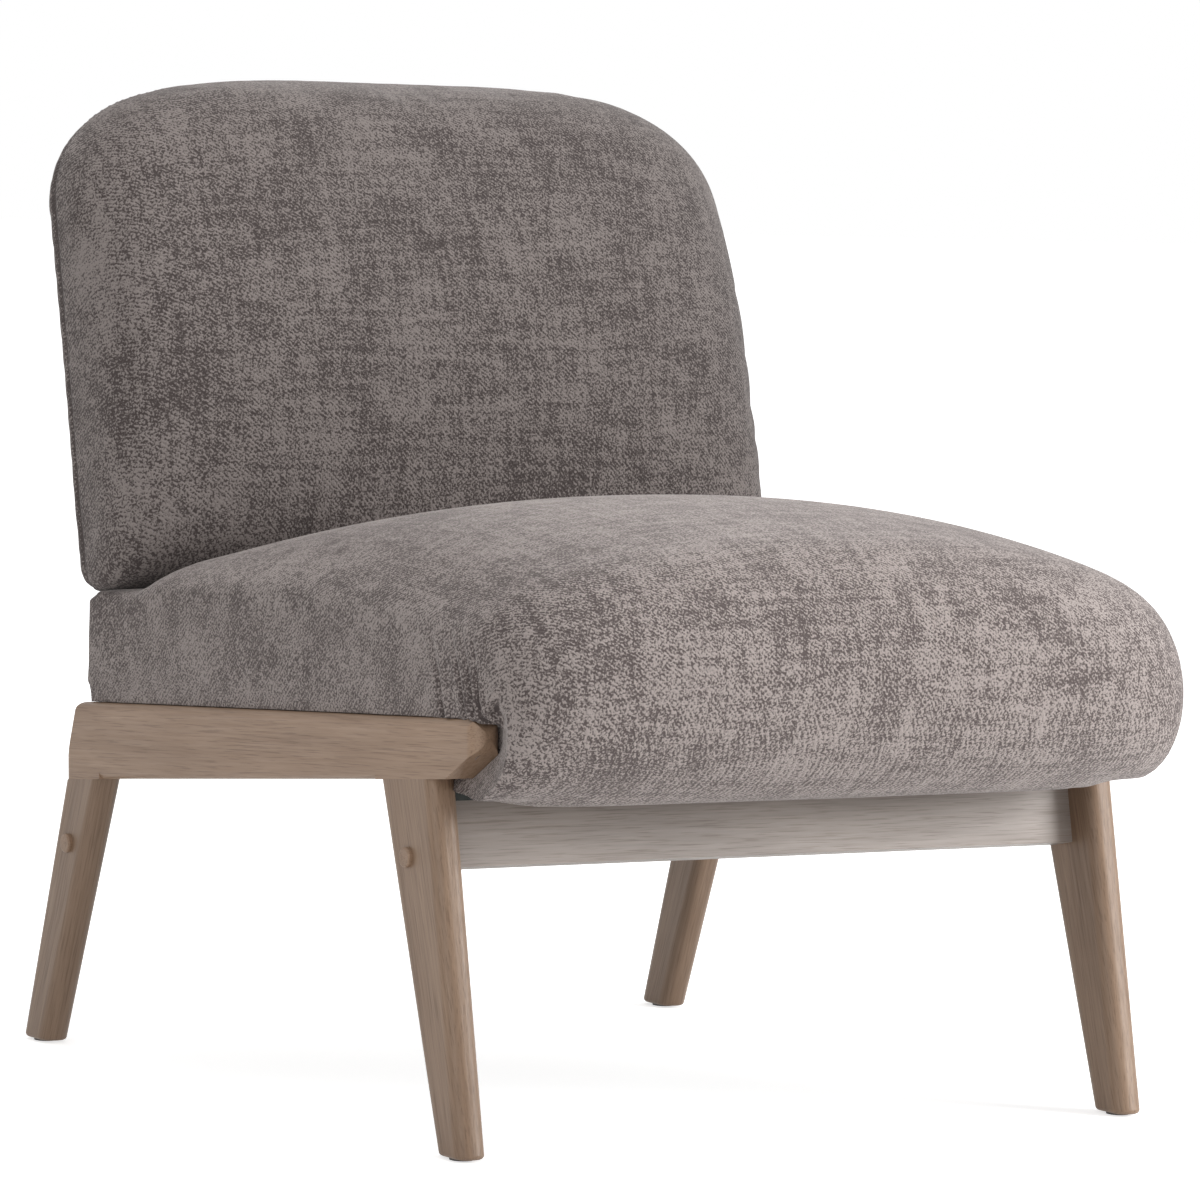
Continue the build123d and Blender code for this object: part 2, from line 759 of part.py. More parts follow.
def seat_side_member(side):
    """Long member of the seat frame with the pilot holes of the seat screws and its dowel holes."""
    limits = sorted((side * member_inner, side * seat_frame_half))
    with BuildPart() as member:
        add(box_on(deck, limits, (-seat_frame_front, seat_frame_rear), member_levels))
        for plane in seat_screw_planes(side):
            with Locations(plane):
                depth = seat_screw_web + dust_thickness + seat_screw_depth + fit
                Cylinder(seat_screw_radius + fit, depth, align=up, mode=Mode.SUBTRACT)
        for plane in member_dowel_planes(side):
            with Locations(plane):
                Cylinder(dowel_radius + fit, rail_dowel_depth + fit, align=up, mode=Mode.SUBTRACT)
    return member.part


def member_dowel_planes(side):
    """Planes of the seat frame's dowels on the side member's inner face."""
    middle = sum(member_levels) / 2
    front = cross_member / 2 - seat_frame_front
    rear = seat_frame_rear - cross_member / 2
    places = [end + s * cross_member / 4 for end in (front, rear) for s in (-1, 1)]
    return [across(deck, side * member_inner, along, middle, side) for along in places]


def seat_cross_member(along_range):
    """Cross member of the seat frame with its dowel holes."""
    with BuildPart() as member:
        add(box_on(deck, (-member_inner, member_inner), along_range, member_levels))
        for side in sides.values():
            for plane in member_dowel_planes(side):
                with Locations(plane):
                    Cylinder(dowel_radius + fit, apron_dowel_depth + fit, align=down, mode=Mode.SUBTRACT)
    return member.part


board_middle = -front_board_rear - front_board_thickness / 2
board_screw_places = [s * board_screw_spacing for s in (-1, 0, 1)]
front_member_range = (-seat_frame_front, -front_board_rear)
rear_member_range = (seat_frame_rear - cross_member, seat_frame_rear)

with BuildPart() as seat_frame_front_member:
    add(seat_cross_member(front_member_range))
    for x in board_screw_places:
        with Locations(on_frame(deck, x, board_middle, seat_frame_top)):
            Cylinder(screw_radius + fit, 2 * frame_height, align=down, mode=Mode.SUBTRACT)
            Cylinder(screw_head_radius + fit, screw_head_height + fit, align=down, mode=Mode.SUBTRACT)

with BuildPart() as seat_frame_rear_member:
    add(seat_cross_member(rear_member_range))

with BuildPart() as seat_frame_dowels:
    for side in sides.values():
        for plane in member_dowel_planes(side):
            with Locations(plane):
                Cylinder(dowel_radius, apron_dowel_depth, align=down)
                Cylinder(dowel_radius, rail_dowel_depth, align=up)

# Board that carries the front roll, screwed up against the front member
with BuildPart() as seat_front_board:
    add(box_on(
        deck,
        (-front_board_half, front_board_half),
        (-front_board_rear - front_board_thickness, -front_board_rear),
        (-front_board_drop, dust_thickness),
    ))
    for x in board_screw_places:
        with Locations(on_frame(deck, x, board_middle, seat_frame_top)):
            Cylinder(screw_radius + fit, board_screw_length + fit, align=down, mode=Mode.SUBTRACT)

with BuildPart() as front_board_screws:
    for x in board_screw_places:
        with Locations(on_frame(deck, x, board_middle, seat_frame_top - screw_head_height)):
            Cylinder(screw_radius, board_screw_length - screw_head_height, align=down)
            Cylinder(screw_head_radius, screw_head_height, align=up)

# Screws up through the side rails into the seat frame
with BuildPart() as seat_fixing_screws:
    for side in sides.values():
        for plane in seat_screw_planes(side):
            with Locations(plane):
                Cylinder(seat_screw_radius, seat_screw_web + dust_thickness + seat_screw_depth, align=up)
                Cylinder(seat_screw_head, screw_head_height, align=down)

# Seat webbing: lengthwise straps with crosswise straps over them
strap_reach = seat_half_width / 2
with BuildPart() as seat_webbing_lengthwise:
    for x in (-strap_reach, -strap_reach / 3, strap_reach / 3, strap_reach):
        add(box_on(
            deck,
            (x - strap_width / 2, x + strap_width / 2),
            (-seat_frame_front + soft_gap, seat_frame_rear - soft_gap),
            (seat_frame_top, seat_frame_top + strap_thickness),
        ))

cross_places = [
    rear_member_range[0] - strap_width - step * (rear_member_range[0] + front_board_rear) / straps_across
    for step in range(straps_across)
]
with BuildPart() as seat_webbing_crosswise:
    for along in cross_places:
        add(box_on(
            deck,
            (-seat_frame_half + soft_gap, seat_frame_half - soft_gap),
            (along - strap_width / 2, along + strap_width / 2),
            (seat_frame_top + strap_thickness, seat_frame_top + 2 * strap_thickness),
        ))


# Back cushion: outline and thickness drawn in towards its sides
def back_spots(share, inset):
    """Points of the back's side profile at one place across its width."""
    low = back_side_low
    high = back_side_high
    thick = back_side_thickness
    third = back_edge / 3
    spots = {
        "rear_low": ((low + back_edge, 0), (back_edge, 0), (1, 1)),
        "rear_high": ((high - back_edge, 0), (back_height - back_edge, 0), (-1, 1)),
        "edge": ((high - third, third), (back_height - third, third), (-slant, slant)),
        "top": ((high, top_line_side), (back_height, top_line_middle), (-1, 0)),
        "roll": (
            (high - roll_side[0], roll_side[1]),
            (back_height - roll_middle[0], roll_middle[1]),
            (-slant, -slant),
        ),
        "brow": (
            (high - brow_side[0], thick - brow_side[1]),
            (back_height - brow_middle[0], back_crown - brow_middle[1]),
            (-slant, -slant),
        ),
        "crown": ((crown_height_side, thick), (crown_height_middle, back_crown), (0, -1)),
        "lap": (
            (low + lap_side[0], thick - lap_side[1]),
            (lap_middle[0], back_crown - lap_middle[1]),
            (0, -1),
        ),
        "low_roll": (
            (low + low_roll_side[0], thick - low_roll_side[1]),
            (low_roll_middle[0], back_crown - low_roll_middle[1]),
            (slant, -slant),
        ),
        "low": ((low - low_sag, low_line_side), (-low_sag, low_line_middle), (1, 0)),
        "low_rear": ((low - low_sag, back_seam_depth), (-low_sag, back_seam_depth), (1, 0)),
        "low_edge": ((low, third), (0, third), (slant, slant)),
    }
    rise = blend(share, outline_power)
    plan = blend(share, plan_power)
    return {
        name: (
            side[0] + (middle[0] - side[0]) * rise + inset * inward[0],
            side[1] + (middle[1] - side[1]) * plan + inset * inward[1],
        )
        for name, (side, middle, inward) in spots.items()
    }


def back_form(inset):
    """Closed back cushion form, drawn in from its outer face."""
    with BuildPart() as form:
        for share in shares:
            at = back_spots(share, inset)
            with BuildSketch(side_plane(back, share * (back_half_width - inset))):
                with BuildLine():
                    Line(at["rear_low"], at["rear_high"])
                    ThreePointArc(at["rear_high"], at["edge"], at["top"])
                    ThreePointArc(at["top"], at["roll"], at["brow"])
                    ThreePointArc(at["brow"], at["crown"], at["lap"])
                    ThreePointArc(at["lap"], at["low_roll"], at["low"])
                    Line(at["low"], at["low_rear"])
                    ThreePointArc(at["low_rear"], at["low_edge"], at["rear_low"])
                make_face()
        loft()
    return form.part


back_limits = (-frame_width, frame_width)
back_span = (-back_height, 2 * back_height)


def bracket_room(side, levels):
    """Box with room for one bracket, between two levels of the back."""
    reach = bracket_width / 2 + soft_gap
    limits = (side * bracket_x - reach, side * bracket_x + reach)
    return box_on(back, limits, (-back_height, bracket_top + soft_gap), levels)


# Rear panel of the back, up to the seam, with slots for the brackets
with BuildPart() as back_rear_panel:
    add(back_form(0))
    add(box_on(back, back_limits, back_span, (back_seam_depth, 2 * back_crown)), mode=Mode.SUBTRACT)
    add(back_form(cover_thickness), mode=Mode.SUBTRACT)
    for side in sides.values():
        add(bracket_room(side, (cover_thickness, frame_rear + soft_gap)), mode=Mode.SUBTRACT)

# Front cover of the back, from the seam forwards
with BuildPart() as back_cover:
    add(back_form(0))
    add(box_on(back, back_limits, back_span, (-back_crown, back_seam_depth)), mode=Mode.SUBTRACT)
    add(back_form(cover_thickness), mode=Mode.SUBTRACT)

# Back foam around and in front of the back's frame
strap_front = frame_front + strap_thickness
with BuildPart() as back_foam:
    add(back_form(cover_thickness + soft_gap))
    add(
        box_on(
            back,
            (-back_frame_half_width - soft_gap, back_frame_half_width + soft_gap),
            (back_frame_low - soft_gap, back_frame_high + soft_gap),
            (-back_crown, strap_front + fit),
        ),
        mode=Mode.SUBTRACT,
    )
    for side in sides.values():
        add(bracket_room(side, (-back_crown, frame_rear + soft_gap)), mode=Mode.SUBTRACT)

# Frame of the back: two posts with a low and a high cross rail between them
back_levels = (frame_rear, frame_front)
post_inner = back_frame_half_width - post_width
low_range = (back_frame_low, back_frame_low + cross_width)
high_range = (back_frame_high - cross_width, back_frame_high)


def post_dowel_planes(side):
    """Planes of the back frame's dowels on the post's inner face."""
    middle = sum(back_levels) / 2
    places = [sum(limits) / 2 + s * cross_width / 4 for limits in (low_range, high_range) for s in (-1, 1)]
    return [across(back, side * post_inner, along, middle, side) for along in places]


def back_post(side):
    """Upright of the back's frame with its bolt and dowel holes."""
    limits = sorted((side * post_inner, side * back_frame_half_width))
    with BuildPart() as post:
        add(box_on(back, limits, (back_frame_low, back_frame_high), back_levels))
        for along in post_bolts:
            with Locations(on_frame(back, side * bracket_x, along, frame_front)):
                Cylinder(bolt_radius + fit, back_board, align=down, mode=Mode.SUBTRACT)
                Cylinder(nut_bore_radius, nut_recess, align=down, mode=Mode.SUBTRACT)
        for plane in post_dowel_planes(side):
            with Locations(plane):
                Cylinder(dowel_radius + fit, rail_dowel_depth + fit, align=up, mode=Mode.SUBTRACT)
    return post.part


def back_cross_rail(along_range):
    """Cross rail of the back's frame with its dowel holes."""
    with BuildPart() as cross:
        add(box_on(back, (-post_inner, post_inner), along_range, back_levels))
        for side in sides.values():
            for plane in post_dowel_planes(side):
                with Locations(plane):
                    Cylinder(dowel_radius + fit, apron_dowel_depth + fit, align=down, mode=Mode.SUBTRACT)
    return cross.part


with BuildPart() as back_low_rail:
    add(back_cross_rail(low_range))

with BuildPart() as back_high_rail:
    add(back_cross_rail(high_range))

with BuildPart() as back_frame_dowels:
    for side in sides.values():
        for plane in post_dowel_planes(side):
            with Locations(plane):
                Cylinder(dowel_radius, apron_dowel_depth, align=down)
                Cylinder(dowel_radius, rail_dowel_depth, align=up)

# Back webbing across the posts
strap_pitch = (high_range[0] - low_range[1]) / straps_across
back_strap = strap_pitch * strap_share
with BuildPart() as back_webbing:
    for step in range(straps_across):
        middle = low_range[1] + (step + 0.5) * strap_pitch
        add(box_on(
            back,
            (-back_frame_half_width + soft_gap, back_frame_half_width - soft_gap),
            (middle - back_strap / 2, middle + back_strap / 2),
            (frame_front, strap_front),
        ))


# Steel brackets that carry the back on the rear rail
def back_bracket(side):
    """Flat bar with four bolt holes, countersunk on its rear face."""
    with BuildPart() as bar:
        add(box_on(
            back,
            (side * bracket_x - bracket_width / 2, side * bracket_x + bracket_width / 2),
            (bracket_end - rear_rail_high - rear_rail_height, bracket_top),
            (bracket_rear, frame_rear),
        ))
        for along in post_bolts + rear_bolts:
            with Locations(on_frame(back, side * bracket_x, along, bracket_rear)):
                Cylinder(bolt_radius + fit, 4 * bracket_thickness, mode=Mode.SUBTRACT)
                Cylinder(bolt_head_radius + fit, bracket_thickness / 2, align=up, mode=Mode.SUBTRACT)
    return bar.part


with BuildPart() as bracket_bolts:
    for side in sides.values():
        for along in post_bolts + rear_bolts:
            with Locations(on_frame(back, side * bracket_x, along, bracket_rear)):
                Cylinder(bolt_head_radius, bracket_thickness / 2, align=up)
                Cylinder(bolt_radius, bracket_thickness + back_board - fit, align=up)

with BuildPart() as bracket_nuts:
    for side in sides.values():
        for along in post_bolts + rear_bolts:
            with BuildSketch(on_frame(back, side * bracket_x, along, frame_front - nut_recess)):
                RegularPolygon(nut_flats / 2, 6, major_radius=False)
                Circle(bolt_radius + fit, mode=Mode.SUBTRACT)
    extrude(amount=nut_height)

parts = {
    "front_apron": front_apron.part,
    "rear_rail": rear_rail.part,
    "leg_dowels": leg_dowels.part,
    "apron_dowels": apron_dowels.part,
    "rear_rail_dowels": rear_rail_dowels.part,
    "apron_bolts": apron_bolts.part,
    "apron_barrel_nuts": apron_barrel_nuts.part,
    "rear_leg_bolts": rear_leg_bolts.part,
    "rear_leg_washers": rear_leg_washers.part,
    "rear_leg_barrel_nuts": rear_leg_barrel_nuts.part,
    "leg_plugs": leg_plugs.part,
    "floor_glides": floor_glides.part,
    "corner_blocks": corner_blocks.part,
    "corner_block_screws": corner_block_screws.part,
    "dust_cover": dust_cover.part,
    "seat_frame_front_member": seat_frame_front_member.part,
    "seat_frame_rear_member": seat_frame_rear_member.part,
    "seat_frame_dowels": seat_frame_dowels.part,
    "seat_front_board": seat_front_board.part,
    "front_board_screws": front_board_screws.part,
    "seat_fixing_screws": seat_fixing_screws.part,
    "seat_webbing_lengthwise": seat_webbing_lengthwise.part,
    "seat_webbing_crosswise": seat_webbing_crosswise.part,
    "seat_foam": seat_foam.part,
    "seat_cover": seat_cover.part,
    "back_low_rail": back_low_rail.part,
    "back_high_rail": back_high_rail.part,
    "back_frame_dowels": back_frame_dowels.part,
    "back_webbing": back_webbing.part,
    "back_foam": back_foam.part,
    "back_cover": back_cover.part,
    "back_rear_panel": back_rear_panel.part,
    "bracket_bolts": bracket_bolts.part,
    "bracket_nuts": bracket_nuts.part,
}
for name, side in sides.items():
    parts[name + "_side_rail"] = side_rail(side)
    parts[name + "_front_leg"] = front_leg(side)
    parts[name + "_rear_leg"] = rear_leg(side)
    parts["seat_frame_" + name + "_member"] = seat_side_member(side)
    parts["back_" + name + "_post"] = back_post(side)
    parts[name + "_back_bracket"] = back_bracket(side)

for name, part in parts.items():
    part.label = name
    export_step(part, "parts/" + name + ".step")
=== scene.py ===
import json
import math

import bmesh
import bpy
from mathutils import Matrix, Vector


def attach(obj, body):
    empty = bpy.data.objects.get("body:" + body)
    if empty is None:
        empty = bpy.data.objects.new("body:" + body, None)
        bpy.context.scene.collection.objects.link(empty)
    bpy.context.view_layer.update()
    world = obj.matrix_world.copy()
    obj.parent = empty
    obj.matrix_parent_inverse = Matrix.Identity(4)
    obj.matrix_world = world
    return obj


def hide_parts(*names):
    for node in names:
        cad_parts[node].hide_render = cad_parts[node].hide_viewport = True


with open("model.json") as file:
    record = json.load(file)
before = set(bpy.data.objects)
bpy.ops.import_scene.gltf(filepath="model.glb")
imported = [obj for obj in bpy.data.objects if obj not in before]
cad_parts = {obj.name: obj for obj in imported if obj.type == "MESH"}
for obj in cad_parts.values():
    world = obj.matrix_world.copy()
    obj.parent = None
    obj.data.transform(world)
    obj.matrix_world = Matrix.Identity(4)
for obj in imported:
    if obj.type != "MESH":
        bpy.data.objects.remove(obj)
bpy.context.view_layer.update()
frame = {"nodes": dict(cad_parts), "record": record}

bl_info = {
    "name": "Accent chair",
    "version": (1, 0, 0),
    "blender": (4, 5, 0),
    "location": "View3D > Sidebar > Chair",
    "description": "Dresses the packed accent chair with cushions, wood and studio light",
    "category": "Object",
}

# The feet's middle on the Y axis, the rails' top above it and the heel line of the back behind it
STANCE = 0.0249
RAIL_HEIGHT = 0.290
BACK_HEEL_SET, BACK_HEEL_HEIGHT = 0.2620, 0.352
DECK_ORIGIN = Vector((0.0, STANCE, RAIL_HEIGHT))
BACK_ORIGIN = Vector((0.0, STANCE + BACK_HEEL_SET, BACK_HEEL_HEIGHT))


class ChairSeat(bpy.types.PropertyGroup):
    """Sizes of the seat cushion, along and above the rails' top edge"""

    tilt: bpy.props.FloatProperty(
        name="Tilt", description="Fall of the rails towards the rear",
        default=math.radians(4.1), subtype="ANGLE")
    half_width: bpy.props.FloatProperty(
        name="Half width", description="Middle of the chair to the seat's side",
        default=0.3025, unit="LENGTH")
    crown: bpy.props.FloatProperty(
        name="Crown", description="Highest middle of the seat above the rails",
        default=0.153, unit="LENGTH")
    side_height: bpy.props.FloatProperty(
        name="Side height", description="Height of the seat's side above the rails",
        default=0.086, unit="LENGTH")
    front: bpy.props.FloatProperty(
        name="Front", description="Reach of the rolled front from the feet's middle",
        default=0.408, unit="LENGTH")
    roll: bpy.props.FloatProperty(
        name="Roll", description="Radius of the rolled front",
        default=0.094, unit="LENGTH")
    side_front: bpy.props.FloatProperty(
        name="Side front", description="Reach of the front at the seat's sides",
        default=0.360, unit="LENGTH")
    nose: bpy.props.FloatProperty(
        name="Nose", description="Reach of the rails' noses from the feet's middle",
        default=0.330, unit="LENGTH")
    swell: bpy.props.FloatProperty(
        name="Swell", description="Most that the cover may swell under its filling",
        default=0.004, unit="LENGTH")


class ChairBack(bpy.types.PropertyGroup):
    """Sizes of the back cushion, along and in front of its rear plane"""

    recline: bpy.props.FloatProperty(
        name="Recline", description="Lean of the back from upright",
        default=math.radians(14.0), subtype="ANGLE")
    half_width: bpy.props.FloatProperty(
        name="Half width", description="Middle of the chair to the back's side",
        default=0.3030, unit="LENGTH")
    height: bpy.props.FloatProperty(
        name="Height", description="Top of the back above its heel line",
        default=0.416, unit="LENGTH")
    crown: bpy.props.FloatProperty(
        name="Crown", description="Thickness of the back at its middle",
        default=0.126, unit="LENGTH")
    seam: bpy.props.FloatProperty(
        name="Seam", description="Seam in front of the rear plane",
        default=0.019, unit="LENGTH")
    stitch: bpy.props.FloatProperty(
        name="Stitch", description="Pitch of the stitches beside the seam",
        default=0.0062, unit="LENGTH")


class ChairFinish(bpy.types.PropertyGroup):
    """Colours of the chair"""

    cloth_dark: bpy.props.FloatVectorProperty(
        name="Cloth, dark", description="Pile brushed away from the light",
        default=(0.088, 0.071, 0.068), subtype="COLOR", size=3, min=0, max=1)
    cloth_light: bpy.props.FloatVectorProperty(
        name="Cloth, light", description="Pile brushed towards the light",
        default=(0.320, 0.278, 0.262), subtype="COLOR", size=3, min=0, max=1)
    wood_dark: bpy.props.FloatVectorProperty(
        name="Wood, dark", description="Pores and late grain",
        default=(0.218, 0.135, 0.084), subtype="COLOR", size=3, min=0, max=1)
    wood_light: bpy.props.FloatVectorProperty(
        name="Wood, light", description="Washed early grain",
        default=(0.384, 0.260, 0.176), subtype="COLOR", size=3, min=0, max=1)
    floor: bpy.props.FloatVectorProperty(
        name="Floor", description="Pale studio floor",
        default=(0.90, 0.90, 0.90), subtype="COLOR", size=3, min=0, max=1)


# Frames of the seat deck and the back
def deck_frame():
    """Matrix of the seat deck: X across, Y to the rear along the rails, Z above them."""
    tilt = bpy.context.scene.chair_seat.tilt
    return Matrix.Translation(DECK_ORIGIN) @ Matrix.Rotation(-tilt, 4, "X")


def back_frame():
    """Matrix of the back: X across, Y up along its rear plane, Z forwards out of it."""
    lean = bpy.context.scene.chair_back.recline
    return Matrix.Translation(BACK_ORIGIN) @ Matrix.Rotation(math.pi / 2 - lean, 4, "X")


# Padded forms
def line_points(start, end, count):
    """Points along a straight run, without its end."""
    return [
        (start[0] + (end[0] - start[0]) * i / count, start[1] + (end[1] - start[1]) * i / count)
        for i in range(count)
    ]


def arc_points(start, middle, end, count):
    """Points along the arc through three places, without its end."""
    (ax, ay), (bx, by), (cx, cy) = start, middle, end
    d = 2 * (ax * (by - cy) + bx * (cy - ay) + cx * (ay - by))
    straight = 1e-9
    if abs(d) < straight:
        return line_points(start, end, count)
    a2, b2, c2 = ax * ax + ay * ay, bx * bx + by * by, cx * cx + cy * cy
    ux = (a2 * (by - cy) + b2 * (cy - ay) + c2 * (ay - by)) / d
    uy = (a2 * (cx - bx) + b2 * (ax - cx) + c2 * (bx - ax)) / d
    first = math.atan2(ay - uy, ax - ux)
    turn_mid = (math.atan2(by - uy, bx - ux) - first) % math.tau
    turn_end = (math.atan2(cy - uy, cx - ux) - first) % math.tau
    if turn_mid > turn_end:
        turn_end -= math.tau
    radius = math.hypot(ax - ux, ay - uy)
    turns = [first + turn_end * i / count for i in range(count)]
    return [(ux + radius * math.cos(t), uy + radius * math.sin(t)) for t in turns]


def closed_ring(at, runs):
    """Points of a closed profile: an arc where a run names a middle place, a straight run elsewhere."""
    ring = []
    for start, middle, end, count in runs:
        if middle is None:
            ring += line_points(at[start], at[end], count)
        else:
            ring += arc_points(at[start], at[middle], at[end], count)
    return ring


def blend(share, power):
    """How much of the middle profile is left at this share of the half width."""
    edge_share = 0.99
    here = (1 - (abs(share) * edge_share) ** power) ** (1 / power)
    edge = (1 - edge_share ** power) ** (1 / power)
    return (here - edge) / (1 - edge)


def mixed(side, middle, first, second):
    """Place between a side place and a middle place, with its own mix for each axis."""
    return (side[0] + (middle[0] - side[0]) * first, side[1] + (middle[1] - side[1]) * second)


def seat_ring(share):
    """Closed side profile of the seat at one share of its half width."""
    p = bpy.context.scene.chair_seat
    lean = math.radians(16)
    rear, base, lobe_low, lobe_rear = 0.2395, -0.012, -0.063, -0.2605
    corner, foot_set = rear + 0.013, 0.007
    tuck, behind, shoulder, crest = 0.172, 0.149, 0.118, -0.090
    roll_q, roll_h = p.roll - p.front, p.roll + lobe_low
    side_top, side_ahead = p.side_height + 0.004, 0.030 - p.side_front
    square, rounded, level, domed = 8.0, 3.4, 4.0, 2.15
    spots = {
        "foot": ((corner - foot_set, base), (rear - foot_set, base)),
        "rear": ((corner, p.side_height / 2), (rear, 0.042)),
        "rear_top": ((corner - 0.0060, p.side_height - 0.002), (rear - 0.0085, 0.078)),
        "tuck": ((tuck, p.side_height), (tuck, 0.083)),
        "behind": ((behind, side_top), (behind, 0.111)),
        "shoulder": ((shoulder, side_top), (shoulder, p.crown - 0.028)),
        "crown": ((crest, p.side_height), (crest, p.crown)),
        "front_top": (
            (side_ahead, p.side_height - 0.028),
            (roll_q - p.roll * math.sin(lean), roll_h + p.roll * math.cos(lean)),
        ),
        "front": ((-p.side_front, 0.004), (-p.front, roll_h)),
        "lobe": ((side_ahead + 0.012, lobe_low), (roll_q, lobe_low)),
        "lobe_rear": ((lobe_rear, -0.051), (lobe_rear, -0.053)),
        "heel": ((lobe_rear, base), (lobe_rear, base)),
    }
    at = {}
    for name, (side, middle) in spots.items():
        plan = blend(share, square if name in ("foot", "rear", "rear_top") else rounded)
        rise = blend(share, level if name in ("lobe", "lobe_rear") else domed)
        at[name] = mixed(side, middle, plan, rise)
    return closed_ring(at, (
        ("foot", "rear", "rear_top", 12),
        ("rear_top", None, "tuck", 8),
        ("tuck", "behind", "shoulder", 12),
        ("shoulder", "crown", "front_top", 32),
        ("front_top", "front", "lobe", 28),
        ("lobe", None, "lobe_rear", 8),
        ("lobe_rear", None, "heel", 6),
        ("heel", None, "foot", 22),
    ))


def back_ring(share):
    """Closed side profile of the back at one share of its half width."""
    p = bpy.context.scene.chair_back
    low, high, thick, sag = 0.001, 0.320, 0.062, -0.006
    outline_power, plan_power = 3.55, 3.4
    rise, plan = blend(share, outline_power), blend(share, plan_power)
    spots = {
        "rear_low": ((low + 0.030, 0.0), (0.012, 0.0)),
        "rear_high": ((high - 0.013, 0.0), (p.height - 0.015, 0.0)),
        "edge": ((high - 0.005, 0.005), (p.height - 0.004, 0.007)),
        "top": ((high, 0.016), (p.height, 0.022)),
        "roll": ((high - 0.006, 0.032), (p.height - 0.017, 0.066)),
        "brow": ((high - 0.042, thick - 0.015), (p.height - 0.061, p.crown - 0.026)),
        "crown": ((0.148, thick + 0.003), (0.205, p.crown)),
        "lap": ((low + 0.038, thick + 0.002), (0.046, p.crown - 0.018)),
        "low_roll": ((low + 0.007, thick - 0.012), (0.009, p.crown - 0.038)),
        "low": ((low - 0.004, 0.029), (sag, 0.050)),
        "low_rear": ((low - 0.004, 0.022), (sag, 0.014)),
        "low_edge": ((low + 0.006, 0.0065), (-0.001, 0.004)),
    }
    at = {name: mixed(side, middle, rise, plan) for name, (side, middle) in spots.items()}
    return closed_ring(at, (
        ("rear_low", None, "rear_high", 34),
        ("rear_high", "edge", "top", 6),
        ("top", "roll", "brow", 18),
        ("brow", "crown", "lap", 34),
        ("lap", "low_roll", "low", 18),
        ("low", None, "low_rear", 10),
        ("low_rear", "low_edge", "rear_low", 8),
    ))


def padded_form(name, ring_at, half_width, matrix, bulge):
    """Closed form: a ball whose rings take the cushion's profiles and whose poles close its sides."""
    count = len(ring_at(0.0))
    bands = 72
    body = 0.84
    bm = bmesh.new()
    bmesh.ops.create_uvsphere(bm, u_segments=count, v_segments=bands, radius=1.0)
    rings = {}
    for v in bm.verts:
        height = max(-1.0, min(1.0, v.co.z))
        step = math.asin(height) / (math.pi / 2)
        level = round(step * bands / 2)
        share = math.sin(min(1.0, abs(step) / body) * math.pi / 2)
        if level not in rings:
            rings[level] = ring_at(share)
        ring = rings[level]
        index = round(math.atan2(v.co.y, v.co.x) / math.tau * count) % count
        shrink = 1.0 - max(0.0, abs(step) - body) / (1.0 - body)
        mid = (sum(p[0] for p in ring) / count, sum(p[1] for p in ring) / count)
        along = mid[0] + (ring[index][0] - mid[0]) * shrink
        above = mid[1] + (ring[index][1] - mid[1]) * shrink
        x = share * half_width + bulge * (1.0 - shrink * shrink)
        v.co = matrix @ Vector((math.copysign(x, step), along, above))
    bmesh.ops.remove_doubles(bm, verts=bm.verts, dist=1e-6)
    bmesh.ops.recalc_face_normals(bm, faces=bm.faces)
    mesh = bpy.data.meshes.new(name)
    bm.to_mesh(mesh)
    bm.free()
    piece = bpy.data.objects.new(name, mesh)
    bpy.context.scene.collection.objects.link(piece)
    return piece


def smooth_step(value):
    """Eased run from 0 to 1."""
    t = max(0.0, min(1.0, value))
    return t * t * (3 - 2 * t)


def settle(piece):
    """Turns the piece's live modifiers into its mesh."""
    graph = bpy.context.evaluated_depsgraph_get()
    mesh = bpy.data.meshes.new_from_object(piece.evaluated_get(graph))
    old = piece.data
    piece.modifiers.clear()
    piece.data = mesh
    bpy.data.meshes.remove(old)


def remesh(piece, size):
    """Even quads of the given size over the piece."""
    mod = piece.modifiers.new("even", "REMESH")
    mod.mode = "VOXEL"
    mod.voxel_size = size
    settle(piece)


def relax(piece, rounds):
    """Smooths the piece's surface."""
    bm = bmesh.new()
    bm.from_mesh(piece.data)
    for _ in range(rounds):
        bmesh.ops.smooth_vert(
            bm, verts=bm.verts, factor=0.5, use_axis_x=True, use_axis_y=True, use_axis_z=True)
    bm.to_mesh(piece.data)
    bm.free()


def swell(piece, limit):
    """Swells the piece as filled cloth, with each point's travel kept under the limit."""
    rest = [v.co.copy() for v in piece.data.vertices]
    frames = 20
    mod = piece.modifiers.new("cover", "CLOTH")
    mod.settings.quality = 4
    mod.settings.mass = 0.3
    mod.settings.tension_stiffness = 12
    mod.settings.compression_stiffness = 6
    mod.settings.shear_stiffness = 4
    mod.settings.bending_stiffness = 0.6
    mod.settings.use_pressure = True
    mod.settings.uniform_pressure_force = 4.0
    mod.settings.effector_weights.gravity = 0.0
    mod.point_cache.frame_start = 1
    mod.point_cache.frame_end = frames
    scene = bpy.context.scene
    for step in range(1, frames + 1):
        scene.frame_set(step)
    settle(piece)
    scene.frame_set(1)
    for v, start in zip(piece.data.vertices, rest):
        move = v.co - start
        if move.length > limit:
            v.co = start + move * (limit / move.length)


def refine(piece):
    """One more level of smooth quads, kept in the mesh."""
    mod = piece.modifiers.new("fine", "SUBSURF")
    mod.levels = 1
    mod.render_levels = 1
    settle(piece)


def shade(piece, material):
    """Smooth shading, the piece's finish and its place on the chair's one body."""
    piece.data.materials.clear()
    piece.data.materials.append(material)
    piece.data.polygons.foreach_set("use_smooth", [True] * len(piece.data.polygons))
    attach(piece, "root")


